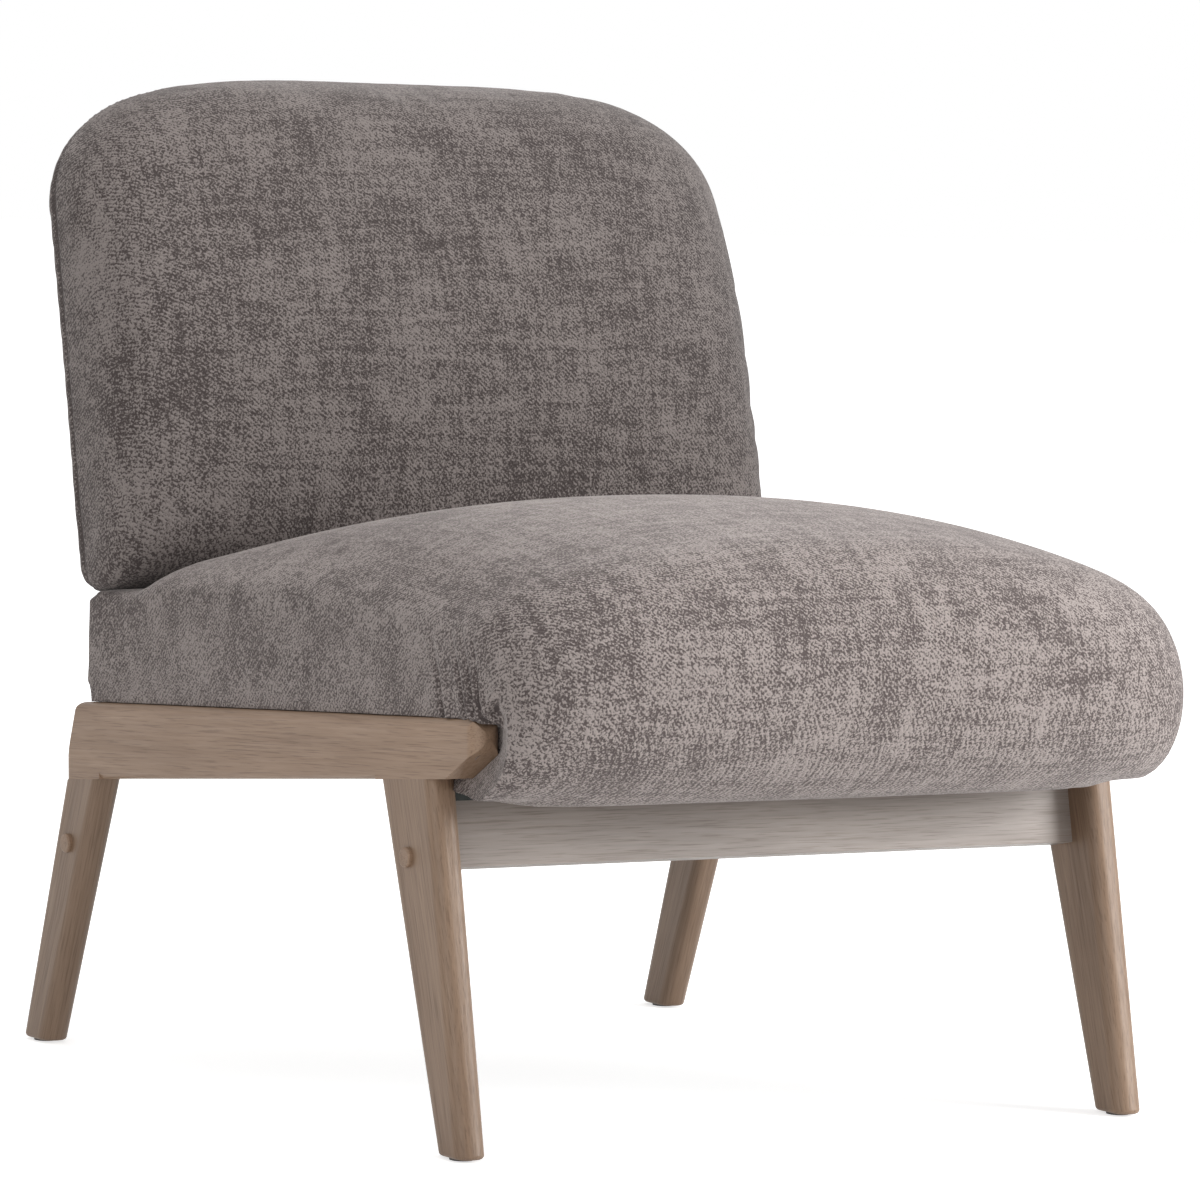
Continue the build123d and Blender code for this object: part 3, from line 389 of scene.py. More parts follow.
# Materials
def new_material(name):
    """Material with a plain principled shader, its nodes and its links."""
    material = bpy.data.materials.new(name)
    material.use_nodes = True
    nodes = material.node_tree.nodes
    return material, nodes, material.node_tree.links, nodes["Principled BSDF"]


def noise(nodes, links, source, scale, detail, stretch=(1.0, 1.0, 1.0)):
    """Noise on a mapped source, drawn out by the stretch along each axis."""
    mapping = nodes.new("ShaderNodeMapping")
    mapping.inputs["Scale"].default_value = stretch
    links.new(source, mapping.inputs["Vector"])
    texture = nodes.new("ShaderNodeTexNoise")
    texture.inputs["Scale"].default_value = scale
    texture.inputs["Detail"].default_value = detail
    links.new(mapping.outputs["Vector"], texture.inputs["Vector"])
    return texture.outputs["Fac"]


def ramp(nodes, links, source, stops):
    """Colour ramp over a value."""
    node = nodes.new("ShaderNodeValToRGB")
    elements = node.color_ramp.elements
    while len(elements) < len(stops):
        elements.new(0.5)
    for element, (place, colour) in zip(elements, stops):
        element.position = place
        element.color = (*colour, 1.0)
    links.new(source, node.inputs["Fac"])
    return node.outputs["Color"]


def maths(nodes, links, kind, first, second):
    """Sum, product or other combination of two values."""
    node = nodes.new("ShaderNodeMath")
    node.operation = kind
    for socket, value in zip(node.inputs, (first, second)):
        if isinstance(value, (int, float)):
            socket.default_value = value
        else:
            links.new(value, socket)
    return node.outputs["Value"]


def bump(nodes, links, height, strength, distance, below=None):
    """Bump from a height value, on top of another bump if one is given."""
    node = nodes.new("ShaderNodeBump")
    node.inputs["Strength"].default_value = strength
    node.inputs["Distance"].default_value = distance
    links.new(height, node.inputs["Height"])
    if below is not None:
        links.new(below, node.inputs["Normal"])
    return node.outputs["Normal"]


def twill_cloth(name, painted_light_level, painted_side_light):
    """Twill with diagonal ribs and slubs along both yarns, painted shade in its creases, a painted light
    level over its whole colour and painted side light on faces turned one way along X.
    """
    finish = bpy.context.scene.chair_finish
    material, nodes, links, shader = new_material(name)
    place = nodes.new("ShaderNodeTexCoord").outputs["Object"]
    across = noise(nodes, links, place, scale=34.0, detail=4.0, stretch=(0.55, 5.0, 5.0))
    along = noise(nodes, links, place, scale=36.0, detail=4.0, stretch=(5.0, 0.8, 0.8))
    patches = noise(nodes, links, place, scale=12.0, detail=4.0, stretch=(1.3, 1.0, 1.0))
    fleck = noise(nodes, links, place, scale=640.0, detail=2.0)
    rib = nodes.new("ShaderNodeTexWave")
    rib.wave_type = "BANDS"
    rib.bands_direction = "DIAGONAL"
    rib.inputs["Scale"].default_value = 140.0
    rib.inputs["Distortion"].default_value = 3.0
    rib.inputs["Detail"].default_value = 1.0
    rib.inputs["Detail Scale"].default_value = 1.4
    links.new(place, rib.inputs["Vector"])
    yarn_weight, patch_weight, fleck_weight, rib_weight = 0.44, 0.38, 1.5, 0.13
    crease_shade_weight, middle_level = 0.30, 0.945
    yarn = maths(nodes, links, "ADD", across, along)
    tone_and_shade = maths(nodes, links, "MULTIPLY", yarn, yarn_weight)
    for part, weight in ((patches, patch_weight), (fleck, fleck_weight), (rib.outputs["Fac"], rib_weight)):
        tone_and_shade = maths(nodes, links, "ADD", tone_and_shade, maths(nodes, links, "MULTIPLY", part, weight))
    # Painted shade: the cloth is darkened where the folds' creases, the slit and the seam's groove are
    # stored on the mesh.
    crease_shade = nodes.new("ShaderNodeAttribute")
    crease_shade.attribute_name = "crease_shade"
    crease_darkening = maths(nodes, links, "MULTIPLY", crease_shade.outputs["Fac"], crease_shade_weight)
    tone_and_shade = maths(nodes, links, "SUBTRACT", tone_and_shade, crease_darkening)
    shown = maths(nodes, links, "SUBTRACT", tone_and_shade, middle_level)
    # Painted light and shade: the level lightens both colours for the seat and darkens them for the back.
    dark = [value * painted_light_level for value in finish.cloth_dark]
    light = [value * painted_light_level for value in finish.cloth_light]
    middle_share = 0.46
    middle = [(d + l) * middle_share for d, l in zip(dark, light)]
    colour = ramp(nodes, links, shown, [(0.385, dark), (0.50, middle), (0.62, light)])
    # Painted light and shade by facing: the colour is scaled by one plus the side-light factor times the
    # normal's X, lighter on faces turned one way and darker on the others.
    facing = nodes.new("ShaderNodeSeparateXYZ")
    links.new(nodes.new("ShaderNodeNewGeometry").outputs["Normal"], facing.inputs["Vector"])
    side_light_gain = maths(nodes, links, "ADD", maths(nodes, links, "MULTIPLY", facing.outputs["X"], painted_side_light), 1.0)
    painted_light_colour = nodes.new("ShaderNodeVectorMath")
    painted_light_colour.operation = "SCALE"
    links.new(colour, painted_light_colour.inputs[0])
    links.new(side_light_gain, painted_light_colour.inputs["Scale"])
    links.new(painted_light_colour.outputs["Vector"], shader.inputs["Base Color"])
    first = bump(nodes, links, rib.outputs["Fac"], strength=0.35, distance=0.0006)
    second = bump(nodes, links, fleck, strength=0.30, distance=0.0008, below=first)
    third = bump(nodes, links, yarn, strength=0.18, distance=0.0015, below=second)
    links.new(third, shader.inputs["Normal"])
    shader.inputs["Roughness"].default_value = 0.92
    shader.inputs["Specular IOR Level"].default_value = 0.15
    shader.inputs["Sheen Weight"].default_value = 0.35
    shader.inputs["Sheen Roughness"].default_value = 0.45
    shader.inputs["Sheen Tint"].default_value = (0.85, 0.80, 0.78, 1.0)
    return material


def washed_wood(name, turn, shift, wash, tone_and_shade):
    """Grey-washed wood with its grain along the turned X axis, its colours scaled by the board's own tone
    together with painted shade.
    """
    finish = bpy.context.scene.chair_finish
    material, nodes, links, shader = new_material(name)
    coordinates = nodes.new("ShaderNodeTexCoord").outputs["Object"]
    aligned = nodes.new("ShaderNodeMapping")
    aligned.vector_type = "TEXTURE"
    aligned.inputs["Rotation"].default_value = turn
    aligned.inputs["Location"].default_value = shift
    links.new(coordinates, aligned.inputs["Vector"])
    place = aligned.outputs["Vector"]
    broad = noise(nodes, links, place, scale=9.0, detail=3.0, stretch=(0.6, 7.0, 7.0))
    fine = noise(nodes, links, place, scale=30.0, detail=6.0, stretch=(0.5, 16.0, 16.0))
    pores = noise(nodes, links, place, scale=90.0, detail=2.0, stretch=(0.35, 12.0, 12.0))
    cloud = noise(nodes, links, place, scale=5.0, detail=2.0, stretch=(1.0, 1.6, 1.6))
    fine_weight, cloud_weight, grain_share = 0.8, 0.5, 0.45
    washed_dark, washed_light = 0.40, 0.56
    grain = maths(nodes, links, "ADD", broad, maths(nodes, links, "MULTIPLY", fine, fine_weight))
    grain = maths(nodes, links, "ADD", grain, maths(nodes, links, "MULTIPLY", cloud, cloud_weight))
    shown = maths(nodes, links, "MULTIPLY", grain, grain_share)
    # The factor holds painted shade as well as the board's own tone.
    dark = [(value + (washed_dark - value) * wash) * tone_and_shade for value in finish.wood_dark]
    light = [(value + (washed_light - value) * wash) * tone_and_shade for value in finish.wood_light]
    middle = [(d + l) * 0.5 for d, l in zip(dark, light)]
    colour = ramp(nodes, links, shown, [(0.34, dark), (0.52, middle), (0.70, light)])
    mask = ramp(nodes, links, pores, [(0.34, (0.76, 0.73, 0.71)), (0.46, (1.0, 1.0, 1.0))])
    mix = nodes.new("ShaderNodeMix")
    mix.data_type = "RGBA"
    mix.blend_type = "MULTIPLY"
    mix.inputs["Factor"].default_value = 1.0
    links.new(colour, mix.inputs["A"])
    links.new(mask, mix.inputs["B"])
    links.new(mix.outputs["Result"], shader.inputs["Base Color"])
    first = bump(nodes, links, pores, strength=0.12, distance=0.0006)
    second = bump(nodes, links, fine, strength=0.06, distance=0.0008, below=first)
    links.new(second, shader.inputs["Normal"])
    rough = ramp(nodes, links, fine, [(0.3, (0.50, 0.50, 0.50)), (0.7, (0.40, 0.40, 0.40))])
    links.new(rough, shader.inputs["Roughness"])
    shader.inputs["Specular IOR Level"].default_value = 0.42
    return material


def grained_finish(name, dark, light, scale, detail, strength, distance, roughness, stretch=(1.0, 1.0, 1.0)):
    """Material whose colour and fine relief follow one grain, and its shader."""
    material, nodes, links, shader = new_material(name)
    place = nodes.new("ShaderNodeTexCoord").outputs["Object"]
    grain = noise(nodes, links, place, scale, detail, stretch)
    colour = ramp(nodes, links, grain, [(0.3, dark), (0.7, light)])
    links.new(colour, shader.inputs["Base Color"])
    relief = bump(nodes, links, grain, strength, distance)
    links.new(relief, shader.inputs["Normal"])
    shader.inputs["Roughness"].default_value = roughness
    return material, shader


def bare_wood():
    """Planed pale wood of the hidden frames."""
    material, _ = grained_finish(
        "bare_wood", dark=(0.46, 0.33, 0.21), light=(0.64, 0.50, 0.34),
        scale=24.0, detail=4.0, stretch=(1.0, 6.0, 6.0), strength=0.15, distance=0.0008, roughness=0.62)
    return material


def plated_steel():
    """Zinc-plated steel with faint turning marks."""
    material, shader = grained_finish(
        "plated_steel", dark=(0.46, 0.46, 0.47), light=(0.62, 0.62, 0.63),
        scale=160.0, detail=3.0, stretch=(1.0, 1.0, 6.0), strength=0.10, distance=0.0003, roughness=0.34)
    shader.inputs["Metallic"].default_value = 1.0
    return material


def black_coat():
    """Black powder coat with a fine orange-peel texture."""
    material, _ = grained_finish(
        "black_coat", dark=(0.030, 0.030, 0.031), light=(0.050, 0.050, 0.050),
        scale=420.0, detail=2.0, strength=0.25, distance=0.0003, roughness=0.48)
    return material


def lining_cloth():
    """Dark non-woven lining with a pressed dimple pattern."""
    material, nodes, links, shader = new_material("dark_lining")
    place = nodes.new("ShaderNodeTexCoord").outputs["Object"]
    dimples = nodes.new("ShaderNodeTexVoronoi")
    dimples.inputs["Scale"].default_value = 420.0
    links.new(place, dimples.inputs["Vector"])
    fibre = noise(nodes, links, place, scale=180.0, detail=4.0)
    colour = ramp(nodes, links, fibre, [(0.3, (0.030, 0.034, 0.032)), (0.7, (0.062, 0.068, 0.064))])
    links.new(colour, shader.inputs["Base Color"])
    relief = bump(nodes, links, dimples.outputs["Distance"], strength=0.3, distance=0.0004)
    links.new(relief, shader.inputs["Normal"])
    shader.inputs["Roughness"].default_value = 0.95
    return material


def strap_cloth():
    """Coarse webbing with slanting ribs."""
    material, nodes, links, shader = new_material("webbing_weave")
    place = nodes.new("ShaderNodeTexCoord").outputs["Object"]
    ribs = nodes.new("ShaderNodeTexWave")
    ribs.bands_direction = "DIAGONAL"
    ribs.inputs["Scale"].default_value = 110.0
    ribs.inputs["Distortion"].default_value = 1.0
    links.new(place, ribs.inputs["Vector"])
    colour = ramp(nodes, links, ribs.outputs["Fac"], [(0.2, (0.20, 0.17, 0.12)), (0.8, (0.36, 0.31, 0.23))])
    links.new(colour, shader.inputs["Base Color"])
    relief = bump(nodes, links, ribs.outputs["Fac"], strength=0.4, distance=0.0005)
    links.new(relief, shader.inputs["Normal"])
    shader.inputs["Roughness"].default_value = 0.9
    return material


def moulded_glide():
    """Dull dark plastic of the glides."""
    material, _ = grained_finish(
        "moulded_glide", dark=(0.060, 0.052, 0.048), light=(0.090, 0.080, 0.074),
        scale=700.0, detail=2.0, strength=0.2, distance=0.0002, roughness=0.6)
    return material


def sewing_thread():
    """Matt thread a little darker than the cloth."""
    material, _ = grained_finish(
        "sewing_thread", dark=(0.060, 0.048, 0.046), light=(0.105, 0.088, 0.084),
        scale=900.0, detail=2.0, strength=0.3, distance=0.0002, roughness=0.85)
    return material


def seen_by_eye(nodes, links):
    """One where the camera sees a surface, straight, mirrored or through another, and otherwise zero."""
    ray = nodes.new("ShaderNodeLightPath")
    seen = maths(nodes, links, "MAXIMUM", ray.outputs["Is Camera Ray"], ray.outputs["Is Glossy Ray"])
    return maths(nodes, links, "MAXIMUM", seen, ray.outputs["Is Transmission Ray"])


# Operators
class CHAIR_OT_stage(bpy.types.Operator):
    """Sets the floor, the studio lamps, the world and the camera"""

    bl_idname = "chair.stage"
    bl_label = "Stage"

    def execute(self, context):
        scene = context.scene
        scene.view_settings.view_transform = "Standard"
        self.make_floor(scene)
        self.make_world(scene)
        self.make_lamps(scene)
        self.make_camera(scene)
        return {"FINISHED"}

    def make_floor(self, scene):
        """Wide pale floor that keeps the chair's shadow."""
        half_size, sink = 30.0, 0.0005
        bm = bmesh.new()
        bmesh.ops.create_grid(bm, x_segments=1, y_segments=1, size=half_size)
        mesh = bpy.data.meshes.new("floor")
        bm.to_mesh(mesh)
        bm.free()
        floor = bpy.data.objects.new("floor", mesh)
        floor.location.z = -sink
        scene.collection.objects.link(floor)
        material, nodes, links, shader = new_material("studio_floor")
        shader.inputs["Base Color"].default_value = (*scene.chair_finish.floor, 1.0)
        shader.inputs["Roughness"].default_value = 0.9
        shader.inputs["Specular IOR Level"].default_value = 0.0
        shader.inputs["Emission Color"].default_value = (1.0, 1.0, 1.0, 1.0)
        reach = nodes.new("ShaderNodeVectorMath")
        reach.operation = "LENGTH"
        links.new(nodes.new("ShaderNodeTexCoord").outputs["Object"], reach.inputs[0])
        glow = nodes.new("ShaderNodeMapRange")
        for socket, value in (("From Min", 0.7), ("From Max", 2.6), ("To Min", 0.66), ("To Max", 1.0)):
            glow.inputs[socket].default_value = value
        links.new(reach.outputs["Value"], glow.inputs["Value"])
        shown = maths(nodes, links, "MULTIPLY", seen_by_eye(nodes, links), glow.outputs["Result"])
        links.new(shown, shader.inputs["Emission Strength"])
        mesh.materials.append(material)

    def make_world(self, scene):
        """Even light from all round, white where it is seen."""
        world = bpy.data.worlds.new("studio")
        world.use_nodes = True
        nodes, links = world.node_tree.nodes, world.node_tree.links
        back = nodes["Background"]
        back.inputs["Color"].default_value = (1.0, 1.0, 1.0, 1.0)
        strength = nodes.new("ShaderNodeMapRange")
        strength.inputs["To Min"].default_value = 0.36
        strength.inputs["To Max"].default_value = 1.0
        links.new(seen_by_eye(nodes, links), strength.inputs["Value"])
        links.new(strength.outputs["Result"], back.inputs["Strength"])
        scene.world = world

    def make_lamps(self, scene):
        """Large soft lamps: a key from the front right, a fill from the left and a top light."""
        chair_middle = Vector((0.0, 0.0, 0.4))
        lamps = {
            "key": ((1.9, -1.9, 0.98), 1.4, 60.0),
            "fill": ((-3.0, -2.2, 1.6), 2.6, 29.0),
            "top": ((0.2, -0.1, 3.4), 2.4, 50.0),
        }
        for name, (place, size, power) in lamps.items():
            data = bpy.data.lights.new(name, "AREA")
            data.shape = "DISK"
            data.size = size
            data.energy = power
            lamp = bpy.data.objects.new(name, data)
            lamp.location = place
            aim = chair_middle - Vector(place)
            lamp.rotation_mode = "QUATERNION"
            lamp.rotation_quaternion = aim.to_track_quat("-Z", "Y")
            scene.collection.objects.link(lamp)

    def make_camera(self, scene):
        """Camera at the photograph's place, with its slight roll."""
        place = Vector((-2.7111, -4.1903 + STANCE, 0.7390))
        target = Vector((0.01257, STANCE, 0.36686))
        roll = math.radians(1.864)
        aim = (target - place).normalized()
        right = aim.cross(Vector((0.0, 0.0, 1.0))).normalized()
        up = right.cross(aim)
        turned = right * math.cos(roll) + up * math.sin(roll)
        raised = up * math.cos(roll) - right * math.sin(roll)
        data = bpy.data.cameras.new("camera")
        data.lens = 196.28
        data.sensor_width = 36.0
        data.clip_end = 100.0
        camera = bpy.data.objects.new("camera", data)
        axes = Matrix((turned, raised, -aim)).transposed()
        camera.matrix_world = Matrix.Translation(place) @ axes.to_4x4()
        scene.collection.objects.link(camera)
        scene.camera = camera


class CHAIR_OT_woodwork(bpy.types.Operator):
    """Gives rails, legs, apron and plugs their washed wood, each with the grain along the board"""

    bl_idname = "chair.woodwork"
    bl_label = "Woodwork"

    def execute(self, context):
        tilt = context.scene.chair_seat.tilt
        quarter, splay = math.pi / 2, 1.25
        # Turn and shift of the grain, wash, and tone with painted shade of each board; the legs are darkened
        # as if in shade, the rear legs most.
        boards = {
            "right_side_rail": ((0.0, tilt, quarter), (0.0, 0.0, 0.0), 0.0, 0.98),
            "left_side_rail": ((0.0, tilt, quarter), (0.3, 0.0, 0.0), 0.0, 0.98),
            "right_front_leg": ((0.0, -splay, quarter), (0.1, 0.0, 0.2), 0.0, 0.81),
            "left_front_leg": ((0.0, -splay, quarter), (0.4, 0.1, 0.0), 0.0, 0.81),
            "right_rear_leg": ((0.0, splay, quarter), (0.2, 0.3, 0.0), 0.0, 0.73),
            "left_rear_leg": ((0.0, splay, quarter), (0.5, 0.0, 0.1), 0.0, 0.73),
            "front_apron": ((0.0, 0.0, 0.0), (0.0, 0.2, 0.0), 0.45, 0.79),
            "rear_rail": ((0.0, 0.0, 0.0), (0.2, 0.0, 0.1), 0.0, 0.85),
            "leg_plugs": ((0.0, 0.0, 0.0), (0.1, 0.1, 0.1), 0.0, 0.95),
        }
        for node, (turn, shift, wash, tone_and_shade) in boards.items():
            piece = frame["nodes"][node]
            piece.data.materials.clear()
            piece.data.materials.append(washed_wood("washed_" + node, turn, shift, wash, tone_and_shade))
        return {"FINISHED"}


class CHAIR_OT_hardware(bpy.types.Operator):
    """Gives the hidden frames, fasteners, webbing, lining and glides their finishes"""

    bl_idname = "chair.hardware"
    bl_label = "Hardware"

    def execute(self, context):
        finishes = {
            "inner_wood": bare_wood(),
            "steel": plated_steel(),
            "bracket": black_coat(),
            "lining": lining_cloth(),
            "webbing": strap_cloth(),
            "glide": moulded_glide(),
        }
        for part in frame["record"]["subparts"]:
            material = finishes.get(part["material_slot"])
            if material is not None:
                piece = frame["nodes"][part["node"]]
                piece.data.materials.clear()
                piece.data.materials.append(material)
        return {"FINISHED"}


class CHAIR_OT_seat(bpy.types.Operator):
    """Makes the seat cushion: crowned top, rolled front and gathers above the rails' noses"""

    bl_idname = "chair.seat"
    bl_label = "Seat"

    def execute(self, context):
        seat = context.scene.chair_seat
        inset, bulge, voxel = 0.0015, 0.002, 0.007
        piece = padded_form("seat_cushion", seat_ring, seat.half_width - inset, deck_frame(), bulge)
        remesh(piece, voxel)
        relax(piece, rounds=2)
        swell(piece, seat.swell)
        self.clear_rails(piece)
        refine(piece)
        self.refine_noses(piece)
        self.tighten(piece)
        self.gather(piece)
        self.clear_rails(piece)
        # Painted light: the seat's cloth is lightened as if lit, and its faces turned to +X a little more.
        shade(piece, twill_cloth("seat_twill", painted_light_level=1.12, painted_side_light=0.05))
        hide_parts("seat_cover", "seat_foam")
        return {"FINISHED"}

    def nose_edges(self):
        """Outward normals and offsets of the rail's side outline, with its rounded nose corners."""
        nose = bpy.context.scene.chair_seat.nose
        rear, rear_low, cheek_set, cheek_low, tip_low = 0.30, -0.0614, 0.040, -0.0429, -0.022
        bend, steps = 0.010, 4
        corners = [
            (rear, 0.0), (rear, rear_low), (-nose + cheek_set, cheek_low), (-nose, tip_low), (-nose, 0.0),
        ]
        points = corners[:3]
        for index in (3, 4):
            before, corner, after = (Vector(corners[(index + turn) % 5]) for turn in (-1, 0, 1))
            first = (before - corner).normalized() * bend
            last = (after - corner).normalized() * bend
            for step in range(steps + 1):
                t = step / steps
                place = corner + first * (1 - t) ** 2 + last * t * t
                points.append((place.x, place.y))
        edges = []
        for start, end in zip(points, points[1:] + points[:1]):
            run = Vector(end) - Vector(start)
            normal = Vector((-run.y, run.x)).normalized()
            edges.append((normal, normal.dot(Vector(start))))
        inside = Vector((0.0, tip_low))
        return [(n, c) if n.dot(inside) < c else (-n, -c) for n, c in edges]

    def clear_rails(self, piece):
        """Keeps the cover on top of the rails and close round their noses."""
        deck = deck_frame()
        local = deck.inverted()
        edges = self.nose_edges()
        inner, gap, bed, top, lobe_rear = 0.2785, 0.0005, 0.0005, 0.004, -0.256
        for v in piece.data.vertices:
            p = local @ v.co
            if p.z > top:
                continue
            side = abs(p.x) - (inner - bed)
            if side > 0:
                flat = Vector((p.y, p.z))
                depth, index = max((normal.dot(flat) - c, i) for i, (normal, c) in enumerate(edges))
                push = gap - depth
                if push > 0:
                    if side < push:
                        p.x -= math.copysign(side, p.x)
                    else:
                        p.y += edges[index][0].x * push
                        p.z += edges[index][0].y * push
                    v.co = deck @ p
            elif p.y > lobe_rear and p.z < bed:
                p.z = bed
                v.co = deck @ p

    def refine_noses(self, piece):
        """Finer quads round the noses, where the folds are."""
        local = deck_frame().inverted()
        inside, front, rear, low, high = 0.245, -0.375, -0.225, -0.065, 0.062
        bm = bmesh.new()
        bm.from_mesh(piece.data)
        chosen = set()
        for face in bm.faces:
            p = local @ face.calc_center_median()
            if abs(p.x) > inside and front < p.y < rear and low < p.z < high:
                chosen.update(face.edges)
        edges = [edge for edge in bm.edges if edge in chosen]
        bmesh.ops.subdivide_edges(bm, edges=edges, cuts=2, use_grid_fill=True, smooth=0.0)
        bm.to_mesh(piece.data)
        bm.free()

    def tighten(self, piece):
        """Tucks the cover in behind the front and the lower edge of each nose."""
        deck = deck_frame()
        local = deck.inverted()
        edges = self.nose_edges()
        inside, front, rear, top = 0.262, -0.41, -0.245, 0.020
        tuck, tuck_ahead, tuck_rise, tuck_run, tuck_top = -0.312, 0.022, 0.005, 0.012, 0.018
        under, under_run = -0.012, 0.010
        closest, flare = 0.2795, 0.50
        for v in piece.data.vertices:
            p = local @ v.co
            if abs(p.x) < inside or not front < p.y < rear or p.z > top:
                continue
            start = tuck - tuck_ahead * smooth_step((p.z + tuck_rise) / tuck_rise)
            ahead = smooth_step((start - p.y) / tuck_run) * smooth_step((tuck_top - p.z) / tuck_top)
            below = smooth_step((under - p.z) / under_run)
            off = max(normal.dot(Vector((p.y, p.z))) - c for normal, c in edges)
            limit = closest + flare * max(0.0, off)
            over = abs(p.x) - limit
            if over > 0:
                p.x -= math.copysign(over * max(ahead, below), p.x)
                v.co = deck @ p

    def gather(self, piece):
        """Folds drawn together above each nose, and a pucker in front of it, with painted shade stored for
        their creases and the slit.
        """
        deck = deck_frame()
        local = deck.inverted()
        # Place at the rail, lean, depth and width of each fold
        folds = (
            (-0.3352, 0.22, 0.0050, 0.0018), (-0.3280, 0.35, 0.0062, 0.0022),
            (-0.3155, 0.40, 0.0070, 0.0026), (-0.2820, 0.28, 0.0060, 0.0034),
        )
        inside, inside_run = 0.25, 0.03
        front, rear, low, high = -0.372, -0.225, -0.006, 0.070
        full_top, fade_run = 0.012, 0.020
        ridge, ridge_set, ridge_width = 0.42, 2.3, 1.5
        tip_place, tip_low, tip_lean, tip_middle, tip_run = -0.334, 0.003, 1.1, 0.011, 0.010
        lip, lip_width = 0.0040, 0.0030
        slit_set, slit_depth, slit_width, slit_shade = 0.007, 0.0034, 0.0035, 0.7
        frame_side, frame_front = 0.2935, -0.331
        crease_shade = piece.data.attributes.new("crease_shade", "FLOAT", "POINT")
        normals = [n.vector.copy() for n in piece.data.vertex_normals]
        for v, normal in zip(piece.data.vertices, normals):
            p = local @ v.co
            if abs(p.x) < inside or not front < p.y < rear or not low < p.z < high:
                continue
            near = smooth_step((abs(p.x) - inside) / inside_run)
            fade = near * math.exp(-max(0.0, p.z - full_top) / fade_run)
            move, dark = 0.0, 0.0
            for place, lean, depth, width in folds:
                off = (p.y - place - lean * p.z) / width
                dip = math.exp(-off * off)
                move += depth * (ridge * math.exp(-((off + ridge_set) / ridge_width) ** 2) - dip)
                dark += dip
            tip = (p.y - tip_place) + (p.z - tip_low) * tip_lean
            run = math.exp(-((p.z - tip_middle) / tip_run) ** 2)
            slit = math.exp(-((tip + slit_set) / slit_width) ** 2)
            move += run * (lip * math.exp(-(tip / lip_width) ** 2) - slit_depth * slit)
            moved = local @ (v.co + normal * (move * fade))
            least = min(abs(p.x), frame_side)
            if p.z > 0.0 and p.y > frame_front and abs(moved.x) < least:
                moved.x = math.copysign(least, p.x)
            v.co = deck @ moved
            # Painted shade in each fold's crease and in the slit in front of the nose.
            crease_shade.data[v.index].value = min(1.0, dark + slit_shade * run * slit) * fade


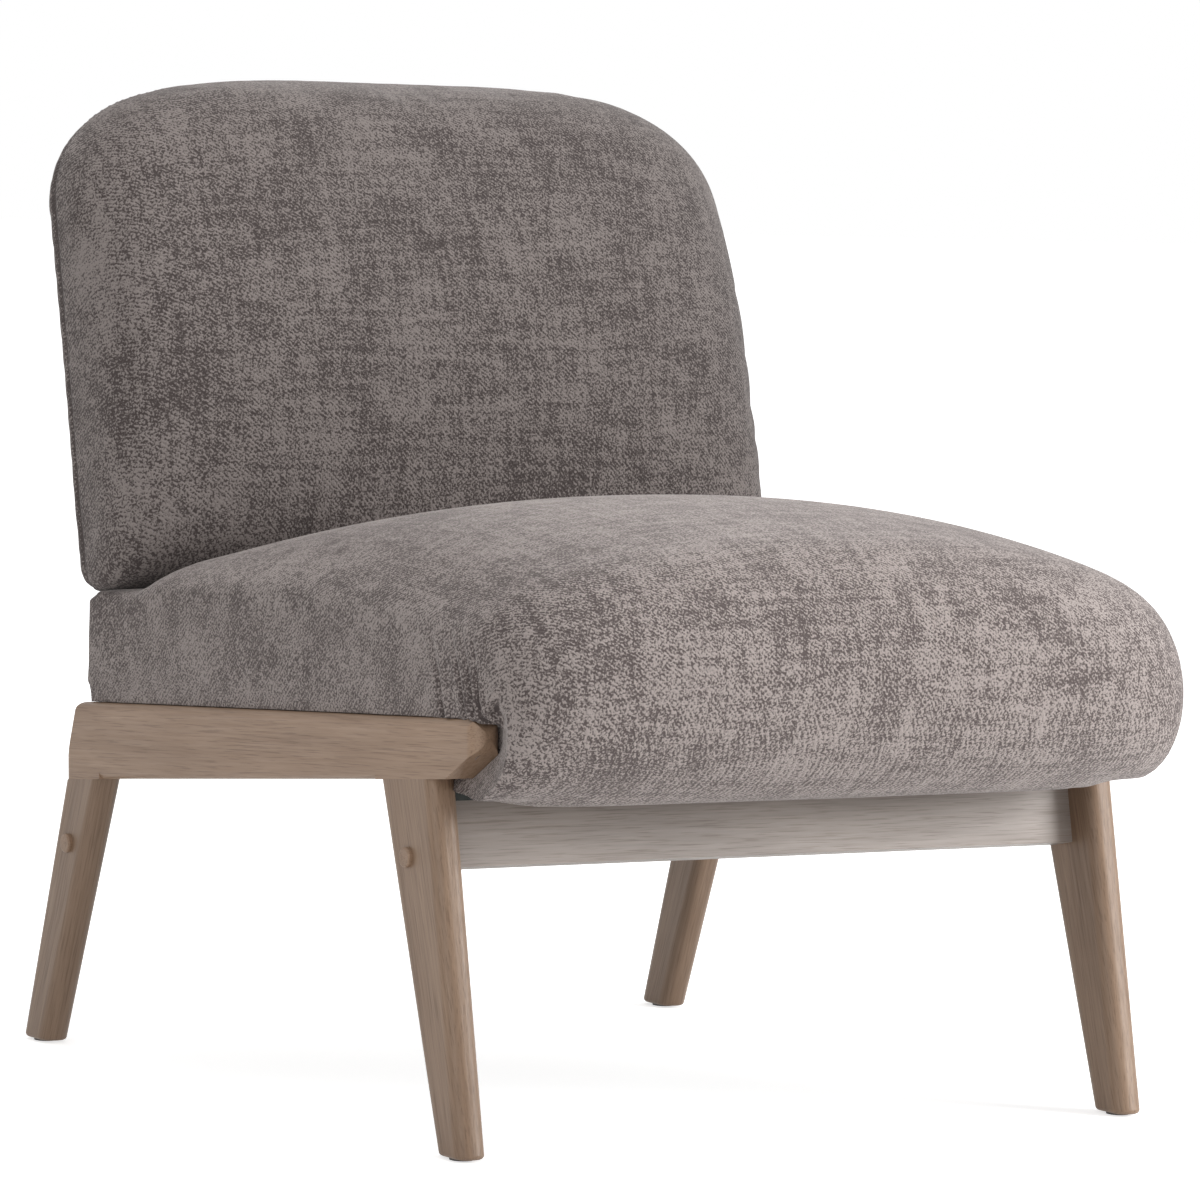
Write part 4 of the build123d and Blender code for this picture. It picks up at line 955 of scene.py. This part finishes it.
class CHAIR_OT_back(bpy.types.Operator):
    """Makes the back cushion with the seam round its rear edge"""

    bl_idname = "chair.back"
    bl_label = "Back"

    def execute(self, context):
        back = context.scene.chair_back
        bulge, voxel, most_swell = 0.003, 0.006, 0.006
        piece = padded_form("back_cushion", back_ring, back.half_width, back_frame(), bulge)
        self.widen(piece)
        remesh(piece, voxel)
        relax(piece, rounds=3)
        swell(piece, most_swell)
        refine(piece)
        self.sew(piece)
        # Painted shade: the back's cloth is darkened as if in shade, with painted light on its faces turned
        # to -X and painted shade on those turned to +X.
        shade(piece, twill_cloth("back_twill", painted_light_level=0.64, painted_side_light=-0.42))
        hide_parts("back_cover", "back_foam", "back_rear_panel")
        self.stitch(context, piece)
        return {"FINISHED"}

    def widen(self, piece):
        """Lets the back grow a little wider towards the seat."""
        matrix = back_frame()
        local = matrix.inverted()
        spread, spread_top = 0.006, 0.24
        for v in piece.data.vertices:
            p = local @ v.co
            p.x *= 1.0 + spread * smooth_step((spread_top - p.y) / spread_top)
            v.co = matrix @ p

    def sew(self, piece):
        """Draws the cover in along the seam, flattens the rear panel and stores painted shade along the
        seam's groove.
        """
        back = bpy.context.scene.chair_back
        matrix = back_frame()
        local = matrix.inverted()
        rear_band, rear_facing = 0.004, -0.7
        groove_width, groove_depth, edge_least, edge_gain = 0.0028, 0.0022, 0.3, 1.5
        crease_shade = piece.data.attributes.new("crease_shade", "FLOAT", "POINT")
        normals = [n.vector.copy() for n in piece.data.vertex_normals]
        for v, normal in zip(piece.data.vertices, normals):
            p = local @ v.co
            out = local.to_3x3() @ normal
            if p.z < rear_band and out.z < rear_facing:
                p.z = max(p.z, 0.0)
                v.co = matrix @ p
            edge = 1.0 - abs(out.z)
            if edge > edge_least:
                groove = math.exp(-((p.z - back.seam) / groove_width) ** 2)
                v.co -= normal * (groove_depth * groove * min(1.0, edge * edge_gain))
                # Painted shade along the seam's groove.
                crease_shade.data[v.index].value = groove * min(1.0, edge)

    def stitch(self, context, piece):
        """Row of short stitches in front of the seam."""
        back = context.scene.chair_back
        matrix = back_frame()
        seam_set, thread_half_sizes = 0.006, (0.0018, 0.00045, 0.00040)
        bm = bmesh.new()
        bm.from_mesh(piece.data)
        place = matrix @ Vector((0.0, 0.0, back.seam + seam_set))
        cut = bmesh.ops.bisect_plane(
            bm, geom=bm.verts[:] + bm.edges[:] + bm.faces[:], dist=1e-6,
            plane_co=place, plane_no=matrix.to_3x3() @ Vector((0.0, 0.0, 1.0)))
        loop = self.walk([e for e in cut["geom_cut"] if isinstance(e, bmesh.types.BMEdge)])
        places = [(v.co.copy(), v.normal.copy()) for v in loop]
        bm.free()
        threads = bmesh.new()
        travelled = 0.0
        for (start, normal), (end, _) in zip(places, places[1:] + places[:1]):
            run = (end - start).length
            travelled += run
            if travelled < back.stitch or run < 1e-7:
                continue
            travelled = 0.0
            along = (end - start).normalized()
            across = normal.cross(along).normalized()
            axes = Matrix((along, across, normal)).transposed().to_4x4()
            made = bmesh.ops.create_uvsphere(threads, u_segments=6, v_segments=4, radius=1.0)
            bmesh.ops.transform(
                threads, verts=made["verts"],
                matrix=Matrix.Translation(start) @ axes @ Matrix.Diagonal((*thread_half_sizes, 1.0)))
        mesh = bpy.data.meshes.new("back_stitching")
        threads.to_mesh(mesh)
        threads.free()
        row = bpy.data.objects.new("back_stitching", mesh)
        context.scene.collection.objects.link(row)
        shade(row, sewing_thread())

    def walk(self, edges):
        """Vertices of the longest closed loop in a set of edges, in order."""
        ways = {}
        for edge in edges:
            a, b = edge.verts
            ways.setdefault(a, []).append(b)
            ways.setdefault(b, []).append(a)
        best, seen = [], set()
        for start in ways:
            if start in seen:
                continue
            path, here, last = [start], start, None
            seen.add(start)
            while True:
                onward = [n for n in ways[here] if n is not last and n not in seen]
                if not onward:
                    break
                last, here = here, onward[0]
                seen.add(here)
                path.append(here)
            if len(path) > len(best):
                best = path
        return best


class CHAIR_PT_panel(bpy.types.Panel):
    """Lists the chair's pieces in the sidebar"""

    bl_idname = "CHAIR_PT_panel"
    bl_label = "Accent chair"
    bl_space_type = "VIEW_3D"
    bl_region_type = "UI"
    bl_category = "Chair"

    def draw(self, context):
        for operator in OPERATORS:
            self.layout.operator(operator.bl_idname)
        for group in ("chair_seat", "chair_back", "chair_finish"):
            settings = getattr(context.scene, group)
            for name in settings.__annotations__:
                self.layout.prop(settings, name)


OPERATORS = (CHAIR_OT_stage, CHAIR_OT_woodwork, CHAIR_OT_hardware, CHAIR_OT_seat, CHAIR_OT_back)
CLASSES = (ChairSeat, ChairBack, ChairFinish) + OPERATORS + (CHAIR_PT_panel,)


def register():
    for cls in CLASSES:
        bpy.utils.register_class(cls)
    bpy.types.Scene.chair_seat = bpy.props.PointerProperty(type=ChairSeat)
    bpy.types.Scene.chair_back = bpy.props.PointerProperty(type=ChairBack)
    bpy.types.Scene.chair_finish = bpy.props.PointerProperty(type=ChairFinish)


def unregister():
    del bpy.types.Scene.chair_seat
    del bpy.types.Scene.chair_back
    del bpy.types.Scene.chair_finish
    for cls in reversed(CLASSES):
        bpy.utils.unregister_class(cls)


def main():
    register()
    bpy.ops.chair.stage()
    bpy.ops.chair.woodwork()
    bpy.ops.chair.hardware()
    bpy.ops.chair.seat()
    bpy.ops.chair.back()


if __name__ == "__main__":
    main()
